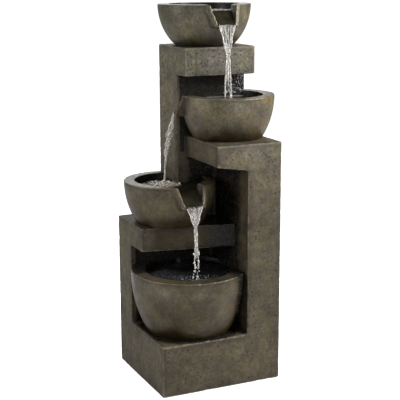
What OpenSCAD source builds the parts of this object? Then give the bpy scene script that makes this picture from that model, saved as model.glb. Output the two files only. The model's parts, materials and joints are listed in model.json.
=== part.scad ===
// Tiered water fountain: hollow cast blocks carry four bowls, and a small pump
// lifts the water from the basin to the top bowl.
// Millimetres, +Z up, the front faces -Y and +X is to the right.
// The origin is on the floor, under the centre of the plinth.

/* [Blocks] */
// Width of the plinth, left to right
plinth_w = 340; // [334:1:350]
// Depth of the plinth, front to back
plinth_d = 312; // [306:1:324]
// Height of the plinth's top
plinth_top = 140; // [136:1:146]
// Wall thickness of the hollow castings
wall = 9; // [8:1:10]
// Left face of the right column
column_x = 73; // [72:1:76]
// Height of the right column's top
column_top = 650; // [644:1:656]
// Left end of the arm at the column's top
arm_x = -13; // [-16:1:-10]
// Height of the arm's underside at its free end
arm_end_z = 594; // [590:1:598]
// Height of the arm's underside where it meets the column
arm_root_z = 582; // [578:1:588]
// Front plane of the low wall behind the basin
low_wall_y = 64; // [60:1:66]
// Underside of the left shelf
shelf_z = 359; // [354:1:364]
// Top of the left shelf
shelf_top = 423; // [420:1:428]
// Front edge of the left shelf at its left end
shelf_left_y = -19; // [-24:1:-14]
// Front edge of the left shelf where it meets the column
shelf_right_y = -70; // [-74:1:-60]
// Left face of the tower
tower_left = -43; // [-46:1:-40]
// Right face of the tower
tower_right = 159; // [156:1:162]
// Front face of the tower
tower_y = 37; // [35:1:39]
// Underside of the head block on the tower
head_z = 814; // [808:1:820]
// Front face of the head block
head_y = -24; // [-28:1:-20]
// Top of the head block
head_top = 888; // [882:1:894]

/* [Bowls] */
// Rim radius of the three upper bowls
bowl_r = 124; // [120:1:126]
// Width of their flat rims
rim_w = 30; // [26:1:32]
// Height of the lower and the upper bowl
bowl_h = 115; // [112:1:118]
// Foot radius of the lower and the upper bowl
bowl_foot_r = 91; // [88:1:94]
// Height of the top bowl
top_bowl_h = 109; // [106:1:112]
// Foot radius of the top bowl
top_foot_r = 77; // [74:1:80]
// Rim radius of the basin
basin_r = 155; // [150:1:157]
// Width of the basin's flat rim
basin_rim_w = 38; // [34:1:40]
// Height of the basin
basin_h = 166; // [160:1:170]
// Foot radius of the basin
basin_foot_r = 113; // [110:1:114]

/* [Spouts] */
// Width of the channel at the rim
channel_w = 74; // [66:1:76]
// Width of the channel at the lip
lip_w = 48; // [46:1:52]
// Thickness of a cheek at the rim
cheek_rim_t = 17; // [16:1:22]
// Thickness of a cheek at the lip
cheek_lip_t = 11; // [8:1:12]
// Height of the rim above the lip
lip_drop = 51; // [48:1:54]
// Reach of the lip beyond the rim
lip_out = 17; // [14:1:20]
// Direction of the lower bowl's spout, turned from the front towards the right
lower_turn = 4; // [0:1:8]
// Direction of the upper bowl's spout, turned from the front towards the left
upper_turn = 116; // [105:1:120]

/* [Door] */
// Width of the access door's recess
door_w = 150; // [140:1:156]
// Height of the access door's recess
door_h = 120; // [110:1:124]
// Lower edge of the access door's recess
door_z = 285; // [280:1:290]

/* [Pump] */
// Width and height of the motor housing
motor_w = 44; // [42:1:46]
// Length of the motor housing
motor_l = 44; // [42:1:48]
// Inner radius of the riser hose
hose_in_r = 6; // [6:0.5:6.5]
// Outer radius of the riser hose
hose_r = 8; // [8:0.5:8.5]

/* [Hidden] */

stone = [0.30, 0.26, 0.19];
board = [0.42, 0.41, 0.38];
rubber = [0.06, 0.06, 0.06];
plastic = [0.09, 0.09, 0.10];
steel = [0.72, 0.72, 0.73];
brass = [0.75, 0.60, 0.30];
eps = 1;

// Outer planes of the blocks
left_x = -plinth_w / 2;
right_x = plinth_w / 2;
front_y = -plinth_d / 2;
back_y = plinth_d / 2;
plate_z = 2;
plate_t = 8;

// Axis of each bowl and the height of its foot
basin_at = [-41, -31, plinth_top];
lower_at = [-65, 34, shelf_top];
upper_at = [78, -23, column_top];
top_at = [52, 66, head_top];
bowl_floor_t = 16;
basin_wall = 14;
sill_drop = 18;
lip_t = 4;
back_wall_t = 8;
back_wall_drop = 12;
foot_ring_h = 4;
foot_ring_out = 1.5;
curve_steps = 12;

// Fixings
bolt_r = 4;
bolt_hole_r = 4.3;
bowl_bolt_r = 2.5;
bowl_hole_r = 2.7;
bowl_nut_r = 1.875 * bowl_bolt_r;
bowl_nut_h = 4;
basin_hole_h = 11;
washer_t = 2.2;
insert_r = 6;
boss_w = 34;
boss_h = 36;
bulkhead_r = 10.8;

// Door, hinges and latch
door_x0 = basin_at[0] - door_w / 2;
door_x1 = basin_at[0] + door_w / 2;
door_gap = 1.5;
rebate = 6;
door_y = back_y - rebate + 0.3;
leaf_t = 1.5;
leaf_w = 18;
knuckle_r = 3.5;
hinge_pin_r = 1.5;
hinge_h = 30;
hinge_x = door_x0 + door_gap / 2;
hinge_zs = [door_z + 24, door_z + door_h - 24];
latch_x = door_x1 - 22;
latch_z = door_z + door_h / 2;
spindle_r = 3;

// Pump: its shaft lies along +X, and the volute starts at pump_at
cup_h = 7;
pump_at = [-29, 42, plinth_top + bowl_floor_t + cup_h + motor_w / 2];
shaft_r = 1.5;
rotor_bore_r = 1.57;
well_r = 11;
volute_r = 21;
chamber_r = 17;
volute_l = 16;
outlet_x = 8.5;
outlet_r = 7.4;
cover_l = 16;
nozzle_r = hose_in_r - 0.05;

// Riser: straight runs joined by two S-bends
riser_x = pump_at[0] + outlet_x;
riser_y = 92;
hose_z0 = pump_at[2] + 33;
low_bend_z = hose_z0 + 10;
low_bend_r = 45;
high_bend_z = 730;
high_bend_r = 50;
lean = 60;
hose_sides = 16;
hose_z1 = head_top - 30;

// Drain and cable outlets in the back
drain_x = basin_at[0];
drain_z = 172;
drain_r = 9;
drain_in_r = 6.5;
grommet_x = 45;
grommet_z = 200;
grommet_r = 7;
cable_r = 4;

// ---- helpers ----

// A box between two opposite corners
module block(low, high) {
    translate(low) cube(high - low);
}

// A cylinder that runs along +X from x0 to x1
module rod_x(r, x0, x1) {
    translate([x0, 0, 0]) rotate([0, 90, 0]) cylinder(r = r, h = x1 - x0, $fn = 48);
}

// A cylinder that runs along +Y from y0 to y1
module rod_y(r, y0, y1) {
    translate([0, y0, 0]) rotate([-90, 0, 0]) cylinder(r = r, h = y1 - y0, $fn = 48);
}

// A ring along +Z
module ring(r_out, r_in, h) {
    difference() {
        cylinder(r = r_out, h = h, $fn = 64);
        translate([0, 0, -eps]) cylinder(r = r_in, h = h + 2 * eps, $fn = 64);
    }
}

// A hexagon-headed bolt: the head sits below z = 0 and the shank rises from it
module bolt(r, length) {
    head_h = 1.25 * r;
    translate([0, 0, -head_h]) cylinder(r = 1.875 * r, h = head_h, $fn = 6);
    cylinder(r = r, h = length, $fn = 48);
}

// A countersunk screw: its head is flush with z = 0 and its shank goes down
module screw(r, length) {
    translate([0, 0, -r]) cylinder(r1 = r, r2 = 2 * r, h = r, $fn = 48);
    translate([0, 0, -length]) cylinder(r = r, h = length, $fn = 48);
}

module screw_hole(r, length) {
    translate([0, 0, -r]) cylinder(r1 = r + 0.1, r2 = 2 * r + 0.1, h = r, $fn = 48);
    translate([0, 0, -length]) cylinder(r = r + 0.1, h = length + eps, $fn = 48);
}

// ---- bowls ----

// Half-height of the ellipse that carries the rim radius down to the foot radius
function belly(rim, foot, h) = h / sqrt(1 - pow(foot / rim, 2));

// Points of a bowl's outline, from the rim down to the foot
function outline(rim, foot, h) = [
    for (i = [0:curve_steps])
        let (drop = h * i / curve_steps)
        [rim * sqrt(1 - pow(drop / belly(rim, foot, h), 2)), h - drop]
];

// A solid of revolution under the rim plane, with an optional rise above it
module turned(rim, foot, h, rise = 0) {
    rotate_extrude($fn = 96)
        polygon(concat([[0, h + rise]], rise > 0 ? [[rim, h + rise]] : [],
            outline(rim, foot, h), [[0, 0]]));
}

module bowl_outside(rim, foot, h) {
    turned(rim, foot, h);
    cylinder(r = foot + foot_ring_out, h = foot_ring_h, $fn = 96);
}

module bowl_hollow(rim, h) {
    translate([0, 0, bowl_floor_t])
        turned(rim - rim_w, (rim - rim_w) * 0.64, h - bowl_floor_t, eps);
}

// Half-width of the spout at a drop below the rim, from its widths at rim and lip
function half_at(rim_half, lip_half, drop) =
    rim_half + (lip_half - rim_half) * drop / lip_drop;

// A wedge that narrows downwards and runs from the bowl's axis towards -Y
module front_wedge(rim_half, lip_half, rim_z, bottom) {
    top = half_at(rim_half, lip_half, -eps);
    low = half_at(rim_half, lip_half, bottom);
    rotate([90, 0, 0])
        linear_extrude(height = bowl_r + 2 * lip_out)
        polygon([[-top, rim_z + eps], [top, rim_z + eps],
            [low, rim_z - bottom], [-low, rim_z - bottom]]);
}

// The cheeks and floor of a spout, before the channel is cut
module spout_block(rim_z) {
    skirt = lip_drop + lip_t;
    intersection() {
        rotate_extrude($fn = 96)
            polygon([[0, rim_z], [bowl_r, rim_z],
                [bowl_r + lip_out, rim_z - lip_drop], [bowl_r + lip_out, rim_z - skirt],
                [bowl_r - rim_w, rim_z - skirt - 4], [0, rim_z - skirt - 4]]);
        front_wedge(channel_w / 2 + cheek_rim_t, lip_w / 2 + cheek_lip_t, rim_z, skirt + 6);
    }
}

// The channel: level across the rim, then steeply down to the lip
module spout_channel(rim_z) {
    far = bowl_r + 2 * lip_out;
    intersection() {
        front_wedge(channel_w / 2, lip_w / 2, rim_z, lip_drop + 2);
        rotate([90, 0, 90])
            translate([0, 0, -channel_w])
            linear_extrude(height = 2 * channel_w)
            polygon([[-far, rim_z + eps], [-bowl_r / 2, rim_z + eps],
                [-bowl_r / 2, rim_z - sill_drop], [-(bowl_r - rim_w), rim_z - sill_drop],
                [-(bowl_r + lip_out), rim_z - lip_drop], [-far, rim_z - lip_drop]]);
    }
}

// A bowl on its own axis, its spout towards -Y; children fill part of its hollow
module spouted_bowl(foot, h, hole_r) {
    difference() {
        union() {
            bowl_outside(bowl_r, foot, h);
            spout_block(h);
        }
        difference() {
            bowl_hollow(bowl_r, h);
            children();
        }
        spout_channel(h);
        translate([0, 0, -eps]) cylinder(r = hole_r, h = bowl_floor_t + 2 * eps, $fn = 48);
    }
}

// The space the tower takes above the shelf
module tower_space() {
    block([tower_left, tower_y, shelf_top - eps], [column_x, back_y + 60, column_top]);
    block([tower_left, tower_y, column_top - eps], [tower_right, back_y + 60, head_top]);
}

// The basin's outline with a gap all round, cut from the blocks it stands in
module basin_space(gap) {
    translate(basin_at) {
        turned(basin_r + gap, basin_foot_r + gap, basin_h, gap);
        translate([0, 0, -eps])
            cylinder(r = basin_foot_r + foot_ring_out + gap, h = foot_ring_h + gap + eps, $fn = 96);
    }
}

module basin() {
    flange_t = 14;
    notch_r = basin_r - basin_wall;
    color(stone) difference() {
        translate(basin_at) difference() {
            bowl_outside(basin_r, basin_foot_r, basin_h);
            translate([0, 0, bowl_floor_t])
                turned(basin_r - basin_wall, basin_foot_r - basin_wall,
                    basin_h - bowl_floor_t - flange_t);
            translate([0, 0, basin_h - flange_t - eps])
                cylinder(r = basin_r - basin_rim_w, h = flange_t + 2 * eps, $fn = 96);
            // a blind hole and a pocket for the nut, so the floor itself stays whole
            translate([0, 0, -eps]) cylinder(r = bowl_hole_r, h = basin_hole_h, $fn = 48);
            translate([0, 0, -eps])
                cylinder(r = bowl_nut_r + 0.1, h = bowl_nut_h + 0.1 + eps, $fn = 6);
        }
        // the rim is open behind the low wall, for the hose and a hand
        intersection() {
            translate([basin_at[0], basin_at[1], basin_at[2] + basin_h - flange_t - eps])
                cylinder(r = notch_r, h = flange_t + 2 * eps, $fn = 96);
            block([door_x0, low_wall_y + wall, 0], [door_x1, back_y, 400]);
        }
        translate([drain_x, 0, drain_z]) rod_y(drain_r + 0.05, 60, back_y);
    }
}

// A spouted bowl in its place and direction; children stay in the row's own directions
module placed_bowl(at, turn) {
    translate(at) rotate([0, 0, turn]) spouted_bowl(bowl_foot_r, bowl_h, bowl_hole_r)
        rotate([0, 0, -turn]) children();
}

module lower_bowl() {
    x = tower_left - back_wall_t - lower_at[0];
    y = tower_y - back_wall_t - lower_at[1];
    color(stone) difference() {
        placed_bowl(lower_at, lower_turn)
            block([x, y, 0], [bowl_r, bowl_r, bowl_h - back_wall_drop]);
        tower_space();
    }
}

module upper_bowl() {
    y = tower_y - back_wall_t - upper_at[1];
    color(stone) difference() {
        placed_bowl(upper_at, -upper_turn)
            block([-bowl_r, y, 0], [bowl_r, bowl_r, bowl_h - back_wall_drop]);
        tower_space();
    }
}

module top_bowl() {
    color(stone) translate(top_at) spouted_bowl(top_foot_r, top_bowl_h, bulkhead_r + 0.2);
}

// ---- blocks ----

function corner(i, dx, dy) = [(i % 2 == 0 ? -1 : 1) * dx, (i < 2 ? -1 : 1) * dy];
base_screw_dx = right_x - wall - 14;
base_screw_dy = back_y - wall - 14;
joint_bolts = [[right_x - wall - 17, front_y + 60], [right_x - wall - 17, back_y - 60],
    [left_x + wall + 17, back_y - wall - 17], [column_x - wall - 17, back_y - wall - 17]];

module at_base_corners() {
    for (i = [0:3])
        let (c = corner(i, base_screw_dx, base_screw_dy))
            translate([c[0], c[1], plate_z]) children();
}

module at_joint_bolts() {
    for (p = joint_bolts)
        translate([p[0], p[1], plinth_top]) children();
}

module plinth() {
    inside = [right_x - wall, back_y - wall];
    color(stone) difference() {
        union() {
            difference() {
                block([left_x, front_y, plate_z], [right_x, back_y, plinth_top]);
                block([-inside[0], -inside[1], plate_z - eps],
                    [inside[0], inside[1], plinth_top - wall]);
            }
            at_base_corners() block([-14, -14, plate_t], [14, 14, plate_t + 30]);
        }
        at_base_corners() cylinder(r = 2.6, h = 30, $fn = 48);
        at_joint_bolts() translate([0, 0, -wall - eps])
            cylinder(r = bolt_hole_r, h = wall + 2 * eps, $fn = 48);
        translate([basin_at[0], basin_at[1], plinth_top - wall - eps])
            cylinder(r = bowl_hole_r, h = wall + 2 * eps, $fn = 48);
    }
}

module base_plate() {
    play = 0.5;
    color(board) difference() {
        block([left_x + wall + play, front_y + wall + play, plate_z],
            [right_x - wall - play, back_y - wall - play, plate_z + plate_t]);
        at_base_corners() mirror([0, 0, 1]) screw_hole(2.5, plate_t + eps);
    }
}

module foot_pads() {
    color(rubber) {
        for (i = [0:3])
            let (c = corner(i, base_screw_dx - 30, base_screw_dy - 30))
                translate([c[0], c[1], 0]) cylinder(r = 18, h = plate_z, $fn = 64);
        cylinder(r = 18, h = plate_z, $fn = 64);
    }
}

module base_screws() {
    color(steel) at_base_corners() mirror([0, 0, 1]) screw(2.5, 26);
}

// Front view of the column with its arm, set in by a wall thickness
module column_outline(inset) {
    fillet = 8 - (inset > 0 ? 4 : 0);
    root = [column_x + inset, arm_root_z + inset];
    centre = root - [fillet, fillet];
    arc = [for (a = [0:15:90]) centre + fillet * [cos(a), sin(a)]];
    polygon(concat([[column_x + inset, plinth_top - (inset > 0 ? eps : 0)],
        [right_x - inset, plinth_top - (inset > 0 ? eps : 0)],
        [right_x - inset, column_top - inset], [arm_x + inset, column_top - inset],
        [arm_x + inset, arm_end_z + inset]],
        [for (i = [len(arc) - 1:-1:0]) arc[i]]));
}

module right_column() {
    color(stone) difference() {
        union() {
            difference() {
                union() {
                    translate([0, tower_y, 0]) rotate([90, 0, 0])
                        linear_extrude(height = tower_y - front_y) column_outline(0);
                    block([column_x, front_y, plinth_top], [right_x, back_y, column_top]);
                }
                translate([0, tower_y - wall, 0]) rotate([90, 0, 0])
                    linear_extrude(height = tower_y - front_y - 2 * wall) column_outline(wall);
                block([column_x + wall, front_y + wall, plinth_top - eps],
                    [right_x - wall, back_y - wall, column_top - wall]);
            }
            for (i = [0:1])
                translate([joint_bolts[i][0], joint_bolts[i][1], plinth_top])
                    block([-boss_w / 2, -boss_w / 2, 0], [boss_w / 2, boss_w / 2, boss_h]);
        }
        for (i = [0:1])
            translate([joint_bolts[i][0], joint_bolts[i][1], plinth_top - eps])
                cylinder(r = insert_r, h = 26, $fn = 48);
        translate([upper_at[0], upper_at[1], column_top - wall - eps])
            cylinder(r = bowl_hole_r, h = wall + 2 * eps, $fn = 48);
        basin_space(0.4);
    }
}

// Front edge of the left shelf at a given x
function shelf_y(x) =
    shelf_left_y + (shelf_right_y - shelf_left_y) * (x - left_x) / (column_x - left_x);

module shelf_outline(inset) {
    x0 = left_x + inset;
    x1 = column_x - inset;
    polygon([[x0, shelf_y(x0) + inset], [x1, shelf_y(x1) + inset],
        [x1, back_y - wall], [x0, back_y - wall]]);
}

// Front and side walls behind the basin, open at the back for the panel
module low_walls() {
    color(stone) difference() {
        union() {
            difference() {
                block([left_x, low_wall_y, plinth_top], [column_x, back_y - wall, shelf_z]);
                block([left_x + wall, low_wall_y + wall, plinth_top - eps],
                    [column_x - wall, back_y, shelf_z + eps]);
            }
            for (i = [2:3])
                translate([joint_bolts[i][0], joint_bolts[i][1], plinth_top])
                    block([-boss_w / 2, -boss_w / 2, 0], [boss_w / 2, boss_w / 2, boss_h]);
        }
        for (i = [2:3])
            translate([joint_bolts[i][0], joint_bolts[i][1], plinth_top - eps])
                cylinder(r = insert_r, h = 26, $fn = 48);
        basin_space(0.4);
    }
}

// The shelf is open below and behind, and under the tower
module shelf() {
    color(stone) difference() {
        translate([0, 0, shelf_z]) linear_extrude(height = shelf_top - shelf_z)
            shelf_outline(0);
        translate([0, 0, shelf_z + wall])
            linear_extrude(height = shelf_top - shelf_z - 2 * wall) shelf_outline(wall);
        block([left_x + wall, low_wall_y + wall, shelf_z - eps],
            [column_x - wall, back_y, shelf_top - wall]);
        block([tower_left + wall, tower_y + wall, shelf_top - wall - eps],
            [column_x - wall, back_y, shelf_top + eps]);
        translate([lower_at[0], lower_at[1], shelf_top - wall - eps])
            cylinder(r = bowl_hole_r, h = wall + 2 * eps, $fn = 48);
    }
}

// The panel carries the door, the drain and the cable outlet
module back_panel() {
    color(stone) difference() {
        block([left_x, back_y - wall, plinth_top], [column_x, back_y, shelf_top]);
        block([door_x0, back_y - rebate, door_z], [door_x1, back_y + eps, door_z + door_h]);
        block([door_x0 + rebate, back_y - wall - eps, door_z + rebate],
            [door_x1 - rebate, back_y, door_z + door_h - rebate]);
        translate([drain_x, 0, drain_z]) rod_y(drain_r + 0.2, back_y - wall - eps, back_y + eps);
        translate([grommet_x, 0, grommet_z])
            rod_y(grommet_r, back_y - wall - eps, back_y + eps);
        at_hinges() hinge_screws(-1) screw_hole(1.5, 8);
    }
}

module tower() {
    color(stone) difference() {
        union() {
            block([tower_left, tower_y, shelf_top], [column_x, back_y, column_top + eps]);
            block([tower_left, tower_y, column_top], [tower_right, back_y, head_z]);
        }
        block([tower_left + wall, tower_y + wall, shelf_top - eps],
            [column_x - wall, back_y - wall, column_top + wall + eps]);
        block([tower_left + wall, tower_y + wall, column_top + wall],
            [tower_right - wall, back_y - wall, head_z + eps]);
    }
}

module tower_head() {
    color(stone) difference() {
        block([tower_left, head_y, head_z], [tower_right, back_y, head_top]);
        block([tower_left + wall, head_y + wall, head_z + wall],
            [tower_right - wall, back_y - wall, head_top - wall]);
        block([tower_left + wall, tower_y + wall, head_z - eps],
            [tower_right - wall, back_y - wall, head_top - wall - eps]);
        translate([top_at[0], top_at[1], head_top - wall - eps])
            cylinder(r = bulkhead_r + 0.2, h = wall + 2 * eps, $fn = 48);
    }
}

module joining_bolts() {
    color(steel) at_joint_bolts() translate([0, 0, -wall]) bolt(bolt_r, wall + 24);
}

module threaded_inserts() {
    color(brass) at_joint_bolts() translate([0, 0, 0.5]) ring(insert_r - 0.05, bolt_r + 0.05, 24);
}

// ---- bowl fixings ----

module at_bowl_bolts() {
    for (p = [lower_at, upper_at])
        translate(p + [0, 0, bowl_floor_t]) children();
}

// The basin's bolt comes up from inside the plinth
module at_basin_bolt() {
    translate(basin_at + [0, 0, -wall - washer_t]) children();
}

module bowl_bolts() {
    color(steel) at_bowl_bolts() translate([0, 0, washer_t]) mirror([0, 0, 1])
        bolt(bowl_bolt_r, washer_t + bowl_floor_t + wall + bowl_nut_h + 3);
    color(steel) at_basin_bolt() bolt(bowl_bolt_r, washer_t + wall + bowl_nut_h + 3);
}

module bowl_washers() {
    color(rubber) at_bowl_bolts() ring(10, bowl_bolt_r + 0.1, washer_t);
    color(rubber) at_basin_bolt() ring(10, bowl_bolt_r + 0.1, washer_t);
}

module bowl_nuts() {
    for (p = [basin_at, lower_at - [0, 0, wall + bowl_nut_h], upper_at - [0, 0, wall + bowl_nut_h]])
        color(steel) translate(p) difference() {
            cylinder(r = bowl_nut_r, h = bowl_nut_h, $fn = 6);
            translate([0, 0, -eps])
                cylinder(r = bowl_bolt_r + 0.05, h = bowl_nut_h + 2 * eps, $fn = 48);
        }
}

// ---- access door ----

module at_hinges() {
    for (z = hinge_zs)
        translate([hinge_x, back_y, z]) children();
}

// Places for a leaf's two screws: side is -1 on the frame and 1 on the door
module hinge_screws(side) {
    for (dz = [-9, 9])
        translate([side * (leaf_w / 2 + 2), leaf_t, dz]) rotate([-90, 0, 0]) children();
}

module access_door() {
    color(stone) difference() {
        union() {
            block([door_x0 + door_gap, door_y, door_z + door_gap],
                [door_x1 - door_gap, back_y, door_z + door_h - door_gap]);
            block([door_x0 + 14, door_y - 4, door_z + 14],
                [door_x1 - 14, door_y + eps, door_z + door_h - 14]);
        }
        translate([latch_x, 0, latch_z]) rod_y(spindle_r + 0.1, door_y - 5, back_y + eps);
        at_hinges() hinge_screws(1) screw_hole(1.5, 8);
    }
}

// Half of a butt hinge: side is -1 on the frame, with two knuckles, and 1 on the door
module hinge_leaf(side, knuckles) {
    gap = 0.5;
    difference() {
        union() {
            block([side > 0 ? knuckle_r + gap : -leaf_w, 0, -hinge_h / 2],
                [side > 0 ? leaf_w : -knuckle_r - gap, leaf_t, hinge_h / 2]);
            for (k = knuckles) {
                block([side > 0 ? 0 : -knuckle_r - 2 * gap, 0, k[0]],
                    [side > 0 ? knuckle_r + 2 * gap : 0, leaf_t, k[1]]);
                translate([0, knuckle_r, k[0]]) cylinder(r = knuckle_r, h = k[1] - k[0], $fn = 48);
            }
        }
        translate([0, knuckle_r, -hinge_h]) cylinder(r = hinge_pin_r + 0.05, h = 2 * hinge_h, $fn = 48);
        hinge_screws(side) screw_hole(1.5, 8);
    }
}

module door_hinge_leaves() {
    color(steel) at_hinges() hinge_leaf(1, [[-4.8, 4.8]]);
}

module frame_hinge_leaves() {
    color(steel) at_hinges() hinge_leaf(-1, [[-hinge_h / 2, -5], [5, hinge_h / 2]]);
}

module hinge_pins() {
    color(steel) at_hinges() translate([0, knuckle_r, -hinge_h / 2 - 1.5]) {
        translate([0, 0, 1.5]) cylinder(r = hinge_pin_r, h = hinge_h, $fn = 48);
        cylinder(r = 2.6, h = 1.5, $fn = 48);
        translate([0, 0, hinge_h + 1.5]) cylinder(r = 2.6, h = 1.5, $fn = 48);
    }
}

module door_screws() {
    color(steel) at_hinges() hinge_screws(1) screw(1.5, 6);
}

module frame_screws() {
    color(steel) at_hinges() hinge_screws(-1) screw(1.5, 8);
}

module latch_knob() {
    color(plastic) translate([latch_x, 0, latch_z]) {
        rod_y(11, back_y + 0.3, back_y + 4);
        block([-2.5, back_y + 3, -10], [2.5, back_y + 12, 10]);
        rod_y(spindle_r, door_y - 7.2, back_y + 1);
    }
}

module latch_cam() {
    color(steel) translate([latch_x, 0, latch_z]) difference() {
        union() {
            block([-5, door_y - 7, -21], [5, door_y - 4.5, 0]);
            rod_y(7, door_y - 7, door_y - 4.5);
        }
        rod_y(spindle_r + 0.05, door_y - 8, door_y);
    }
}

// ---- pump ----

// A square bar along +X with rounded edges, from x0 to x1
module rounded_bar(w, r, x0, x1) {
    h = w / 2 - r;
    translate([x0, 0, 0]) rotate([90, 0, 90]) linear_extrude(height = x1 - x0) union() {
        square([w, 2 * h], center = true);
        square([2 * h, w], center = true);
        for (sx = [-1, 1])
            for (sy = [-1, 1])
                translate([sx * h, sy * h]) circle(r = r, $fn = 48);
    }
}

cup_places = [for (x = [-motor_l + 9, -9]) for (y = [-13, 13]) [x, y]];

module pump_housing() {
    color(plastic) translate(pump_at) difference() {
        union() {
            rounded_bar(motor_w, 5, -motor_l, 0);
            translate([-motor_l - 6, 0, 8]) rod_x(6, 0, 7);
            for (x = [-38:6:-8])
                block([x, -motor_w / 2 - 1.2, -12], [x + 2, motor_w / 2 + 1.2, 14]);
        }
        rod_x(well_r, -34, eps);
        rod_x(3.05, -38, -33);
        translate([-motor_l - 7, 0, 8]) rod_x(cable_r, 0, 8);
        for (p = cup_places)
            translate([p[0], p[1], -motor_w / 2 - eps]) cylinder(r = 2.55, h = 5, $fn = 48);
    }
}

module suction_cups() {
    color(rubber) for (p = cup_places)
        translate(pump_at + [p[0], p[1], -motor_w / 2 - cup_h]) difference() {
            union() {
                cylinder(r1 = 9, r2 = 4, h = cup_h, $fn = 48);
                cylinder(r = 2.5, h = cup_h + 3.5, $fn = 48);
            }
            translate([0, 0, -0.01]) cylinder(r1 = 7, r2 = 1, h = 3, $fn = 48);
        }
}

module pump_volute() {
    color(plastic) translate(pump_at) difference() {
        union() {
            difference() {
                union() {
                    rod_x(volute_r, 0, volute_l);
                    rod_x(18, volute_l - eps, volute_l + 4);
                    translate([outlet_x, 0, 14]) cylinder(r = outlet_r, h = 16, $fn = 48);
                }
                rod_x(chamber_r, -eps, volute_l - 3);
                rod_x(16, volute_l, volute_l + 5);
                rod_x(9, volute_l - 4, volute_l + eps);
            }
            rod_x(5, volute_l - 3, volute_l + 2);
            for (a = [0, 120, 240])
                rotate([a, 0, 0]) block([volute_l - 3, -1, 4], [volute_l, 1, 10]);
        }
        rod_x(3.05, volute_l - 2, volute_l + 3);
        rod_x(shaft_r + 0.1, volute_l - 4, volute_l);
        translate([outlet_x, 0, 10]) cylinder(r = hose_in_r, h = 21, $fn = 48);
        rotate([0, 90, 0]) translate([0, 0, -0.1]) ring(19.9, 18.1, 1.7);
    }
}

module volute_seal() {
    color(rubber) translate(pump_at + [0.8, 0, 0]) rotate([0, 90, 0])
        rotate_extrude($fn = 64) translate([19, 0]) circle(r = 0.77, $fn = 24);
}

module rotor_magnet() {
    color([0.20, 0.20, 0.21]) translate(pump_at) difference() {
        rod_x(well_r - 1, -32, -3);
        rod_x(rotor_bore_r, -33, -2);
    }
}

module impeller() {
    color([0.85, 0.85, 0.82]) translate(pump_at) difference() {
        union() {
            rod_x(4.5, -3, 10);
            rod_x(14, 1, 2.5);
            for (i = [0:5])
                rotate([60 * i, 0, 0]) block([2, -0.6, 3], [9, 0.6, 14]);
        }
        rod_x(rotor_bore_r, -4, 11);
    }
}

module rotor_shaft() {
    color(steel) translate(pump_at) rod_x(shaft_r, -37, volute_l + 1);
}

module shaft_bushes() {
    color(rubber) translate(pump_at) {
        difference() {
            rod_x(3, -37.8, -33);
            rod_x(shaft_r + 0.02, -37, -32);
        }
        difference() {
            rod_x(3, volute_l - 2, volute_l + 2);
            rod_x(shaft_r + 0.02, volute_l - 3, volute_l + 1);
        }
    }
}

cover_x0 = volute_l + 0.4;
cover_x1 = cover_x0 + cover_l;

module intake_cover() {
    color(plastic) translate(pump_at) difference() {
        rod_x(volute_r, cover_x0, cover_x1);
        rod_x(volute_r - 1.8, cover_x0 - eps, cover_x1 - 2);
        rod_x(2.3, cover_x1 - 3, cover_x1 + eps);
        for (i = [0:11])
            rotate([30 * i, 0, 0]) block([cover_x0 + 5, -1.5, 16], [cover_x1 - 3, 1.5, 24]);
        for (a = [0, 120, 240])
            rotate([a, 0, 0]) translate([0, 0, 9]) rod_x(3, cover_x1 - 3, cover_x1 + eps);
    }
}

module filter_foam() {
    color([0.12, 0.14, 0.16]) translate(pump_at) difference() {
        rod_x(volute_r - 2.3, cover_x0 + 5, cover_x1 - 2.5);
        rod_x(6, cover_x0 + 4, cover_x1);
    }
}

module flow_dial() {
    color([0.16, 0.30, 0.42]) translate(pump_at) difference() {
        union() {
            rod_x(14, cover_x1 + 0.3, cover_x1 + 2.3);
            rod_x(2, cover_x1 - 4, cover_x1 + 1);
            rod_x(3.6, cover_x1 - 4, cover_x1 - 2.3);
            block([cover_x1 + 2, -1.5, -11], [cover_x1 + 6, 1.5, 11]);
        }
        for (a = [0, 120, 240])
            rotate([a, 0, 0]) translate([0, 0, 9]) rod_x(2.5, cover_x1, cover_x1 + 7);
    }
}

module outlet_nozzle() {
    top = hose_z0 - pump_at[2];
    color(plastic) translate(pump_at + [outlet_x, 0, 0]) difference() {
        union() {
            translate([0, 0, 20]) cylinder(r = nozzle_r, h = top - 11, $fn = 48);
            translate([0, 0, 30]) cylinder(r = 8.5, h = top - 30, $fn = 48);
        }
        translate([0, 0, 19]) cylinder(r = 4.5, h = top + 2, $fn = 48);
    }
}

// ---- riser hose ----

// Straight run between the two halves of an S-bend that shifts the hose by shift
function link(shift, bend_r) = (shift - 2 * bend_r * (1 - cos(lean))) / sin(lean);

// Height of that S-bend
function rise(shift, bend_r) = 2 * bend_r * sin(lean) + link(shift, bend_r) * cos(lean);

// Stations of an upright S-bend towards the unit vector d, each a point and a direction
function s_bend(base, d, shift, bend_r) = let (up = [0, 0, 1]) concat(
    [for (a = [0:12:lean])
        [base + d * bend_r * (1 - cos(a)) + up * bend_r * sin(a), d * sin(a) + up * cos(a)]],
    [for (a = [lean:-12:0])
        [base + d * (shift - bend_r * (1 - cos(a))) + up * (rise(shift, bend_r) - bend_r * sin(a)),
            d * sin(a) + up * cos(a)]]);

// The hose rises from the nozzle, steps back into the low wall and over to the inlet
riser_across = [top_at[0] - riser_x, top_at[1] - riser_y, 0];
riser_stations = concat(
    [[[riser_x, pump_at[1], hose_z0], [0, 0, 1]]],
    s_bend([riser_x, pump_at[1], low_bend_z], [0, 1, 0], riser_y - pump_at[1], low_bend_r),
    s_bend([riser_x, riser_y, high_bend_z], riser_across / norm(riser_across),
        norm(riser_across), high_bend_r),
    [[[top_at[0], top_at[1], hose_z1], [0, 0, 1]]]);

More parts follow.
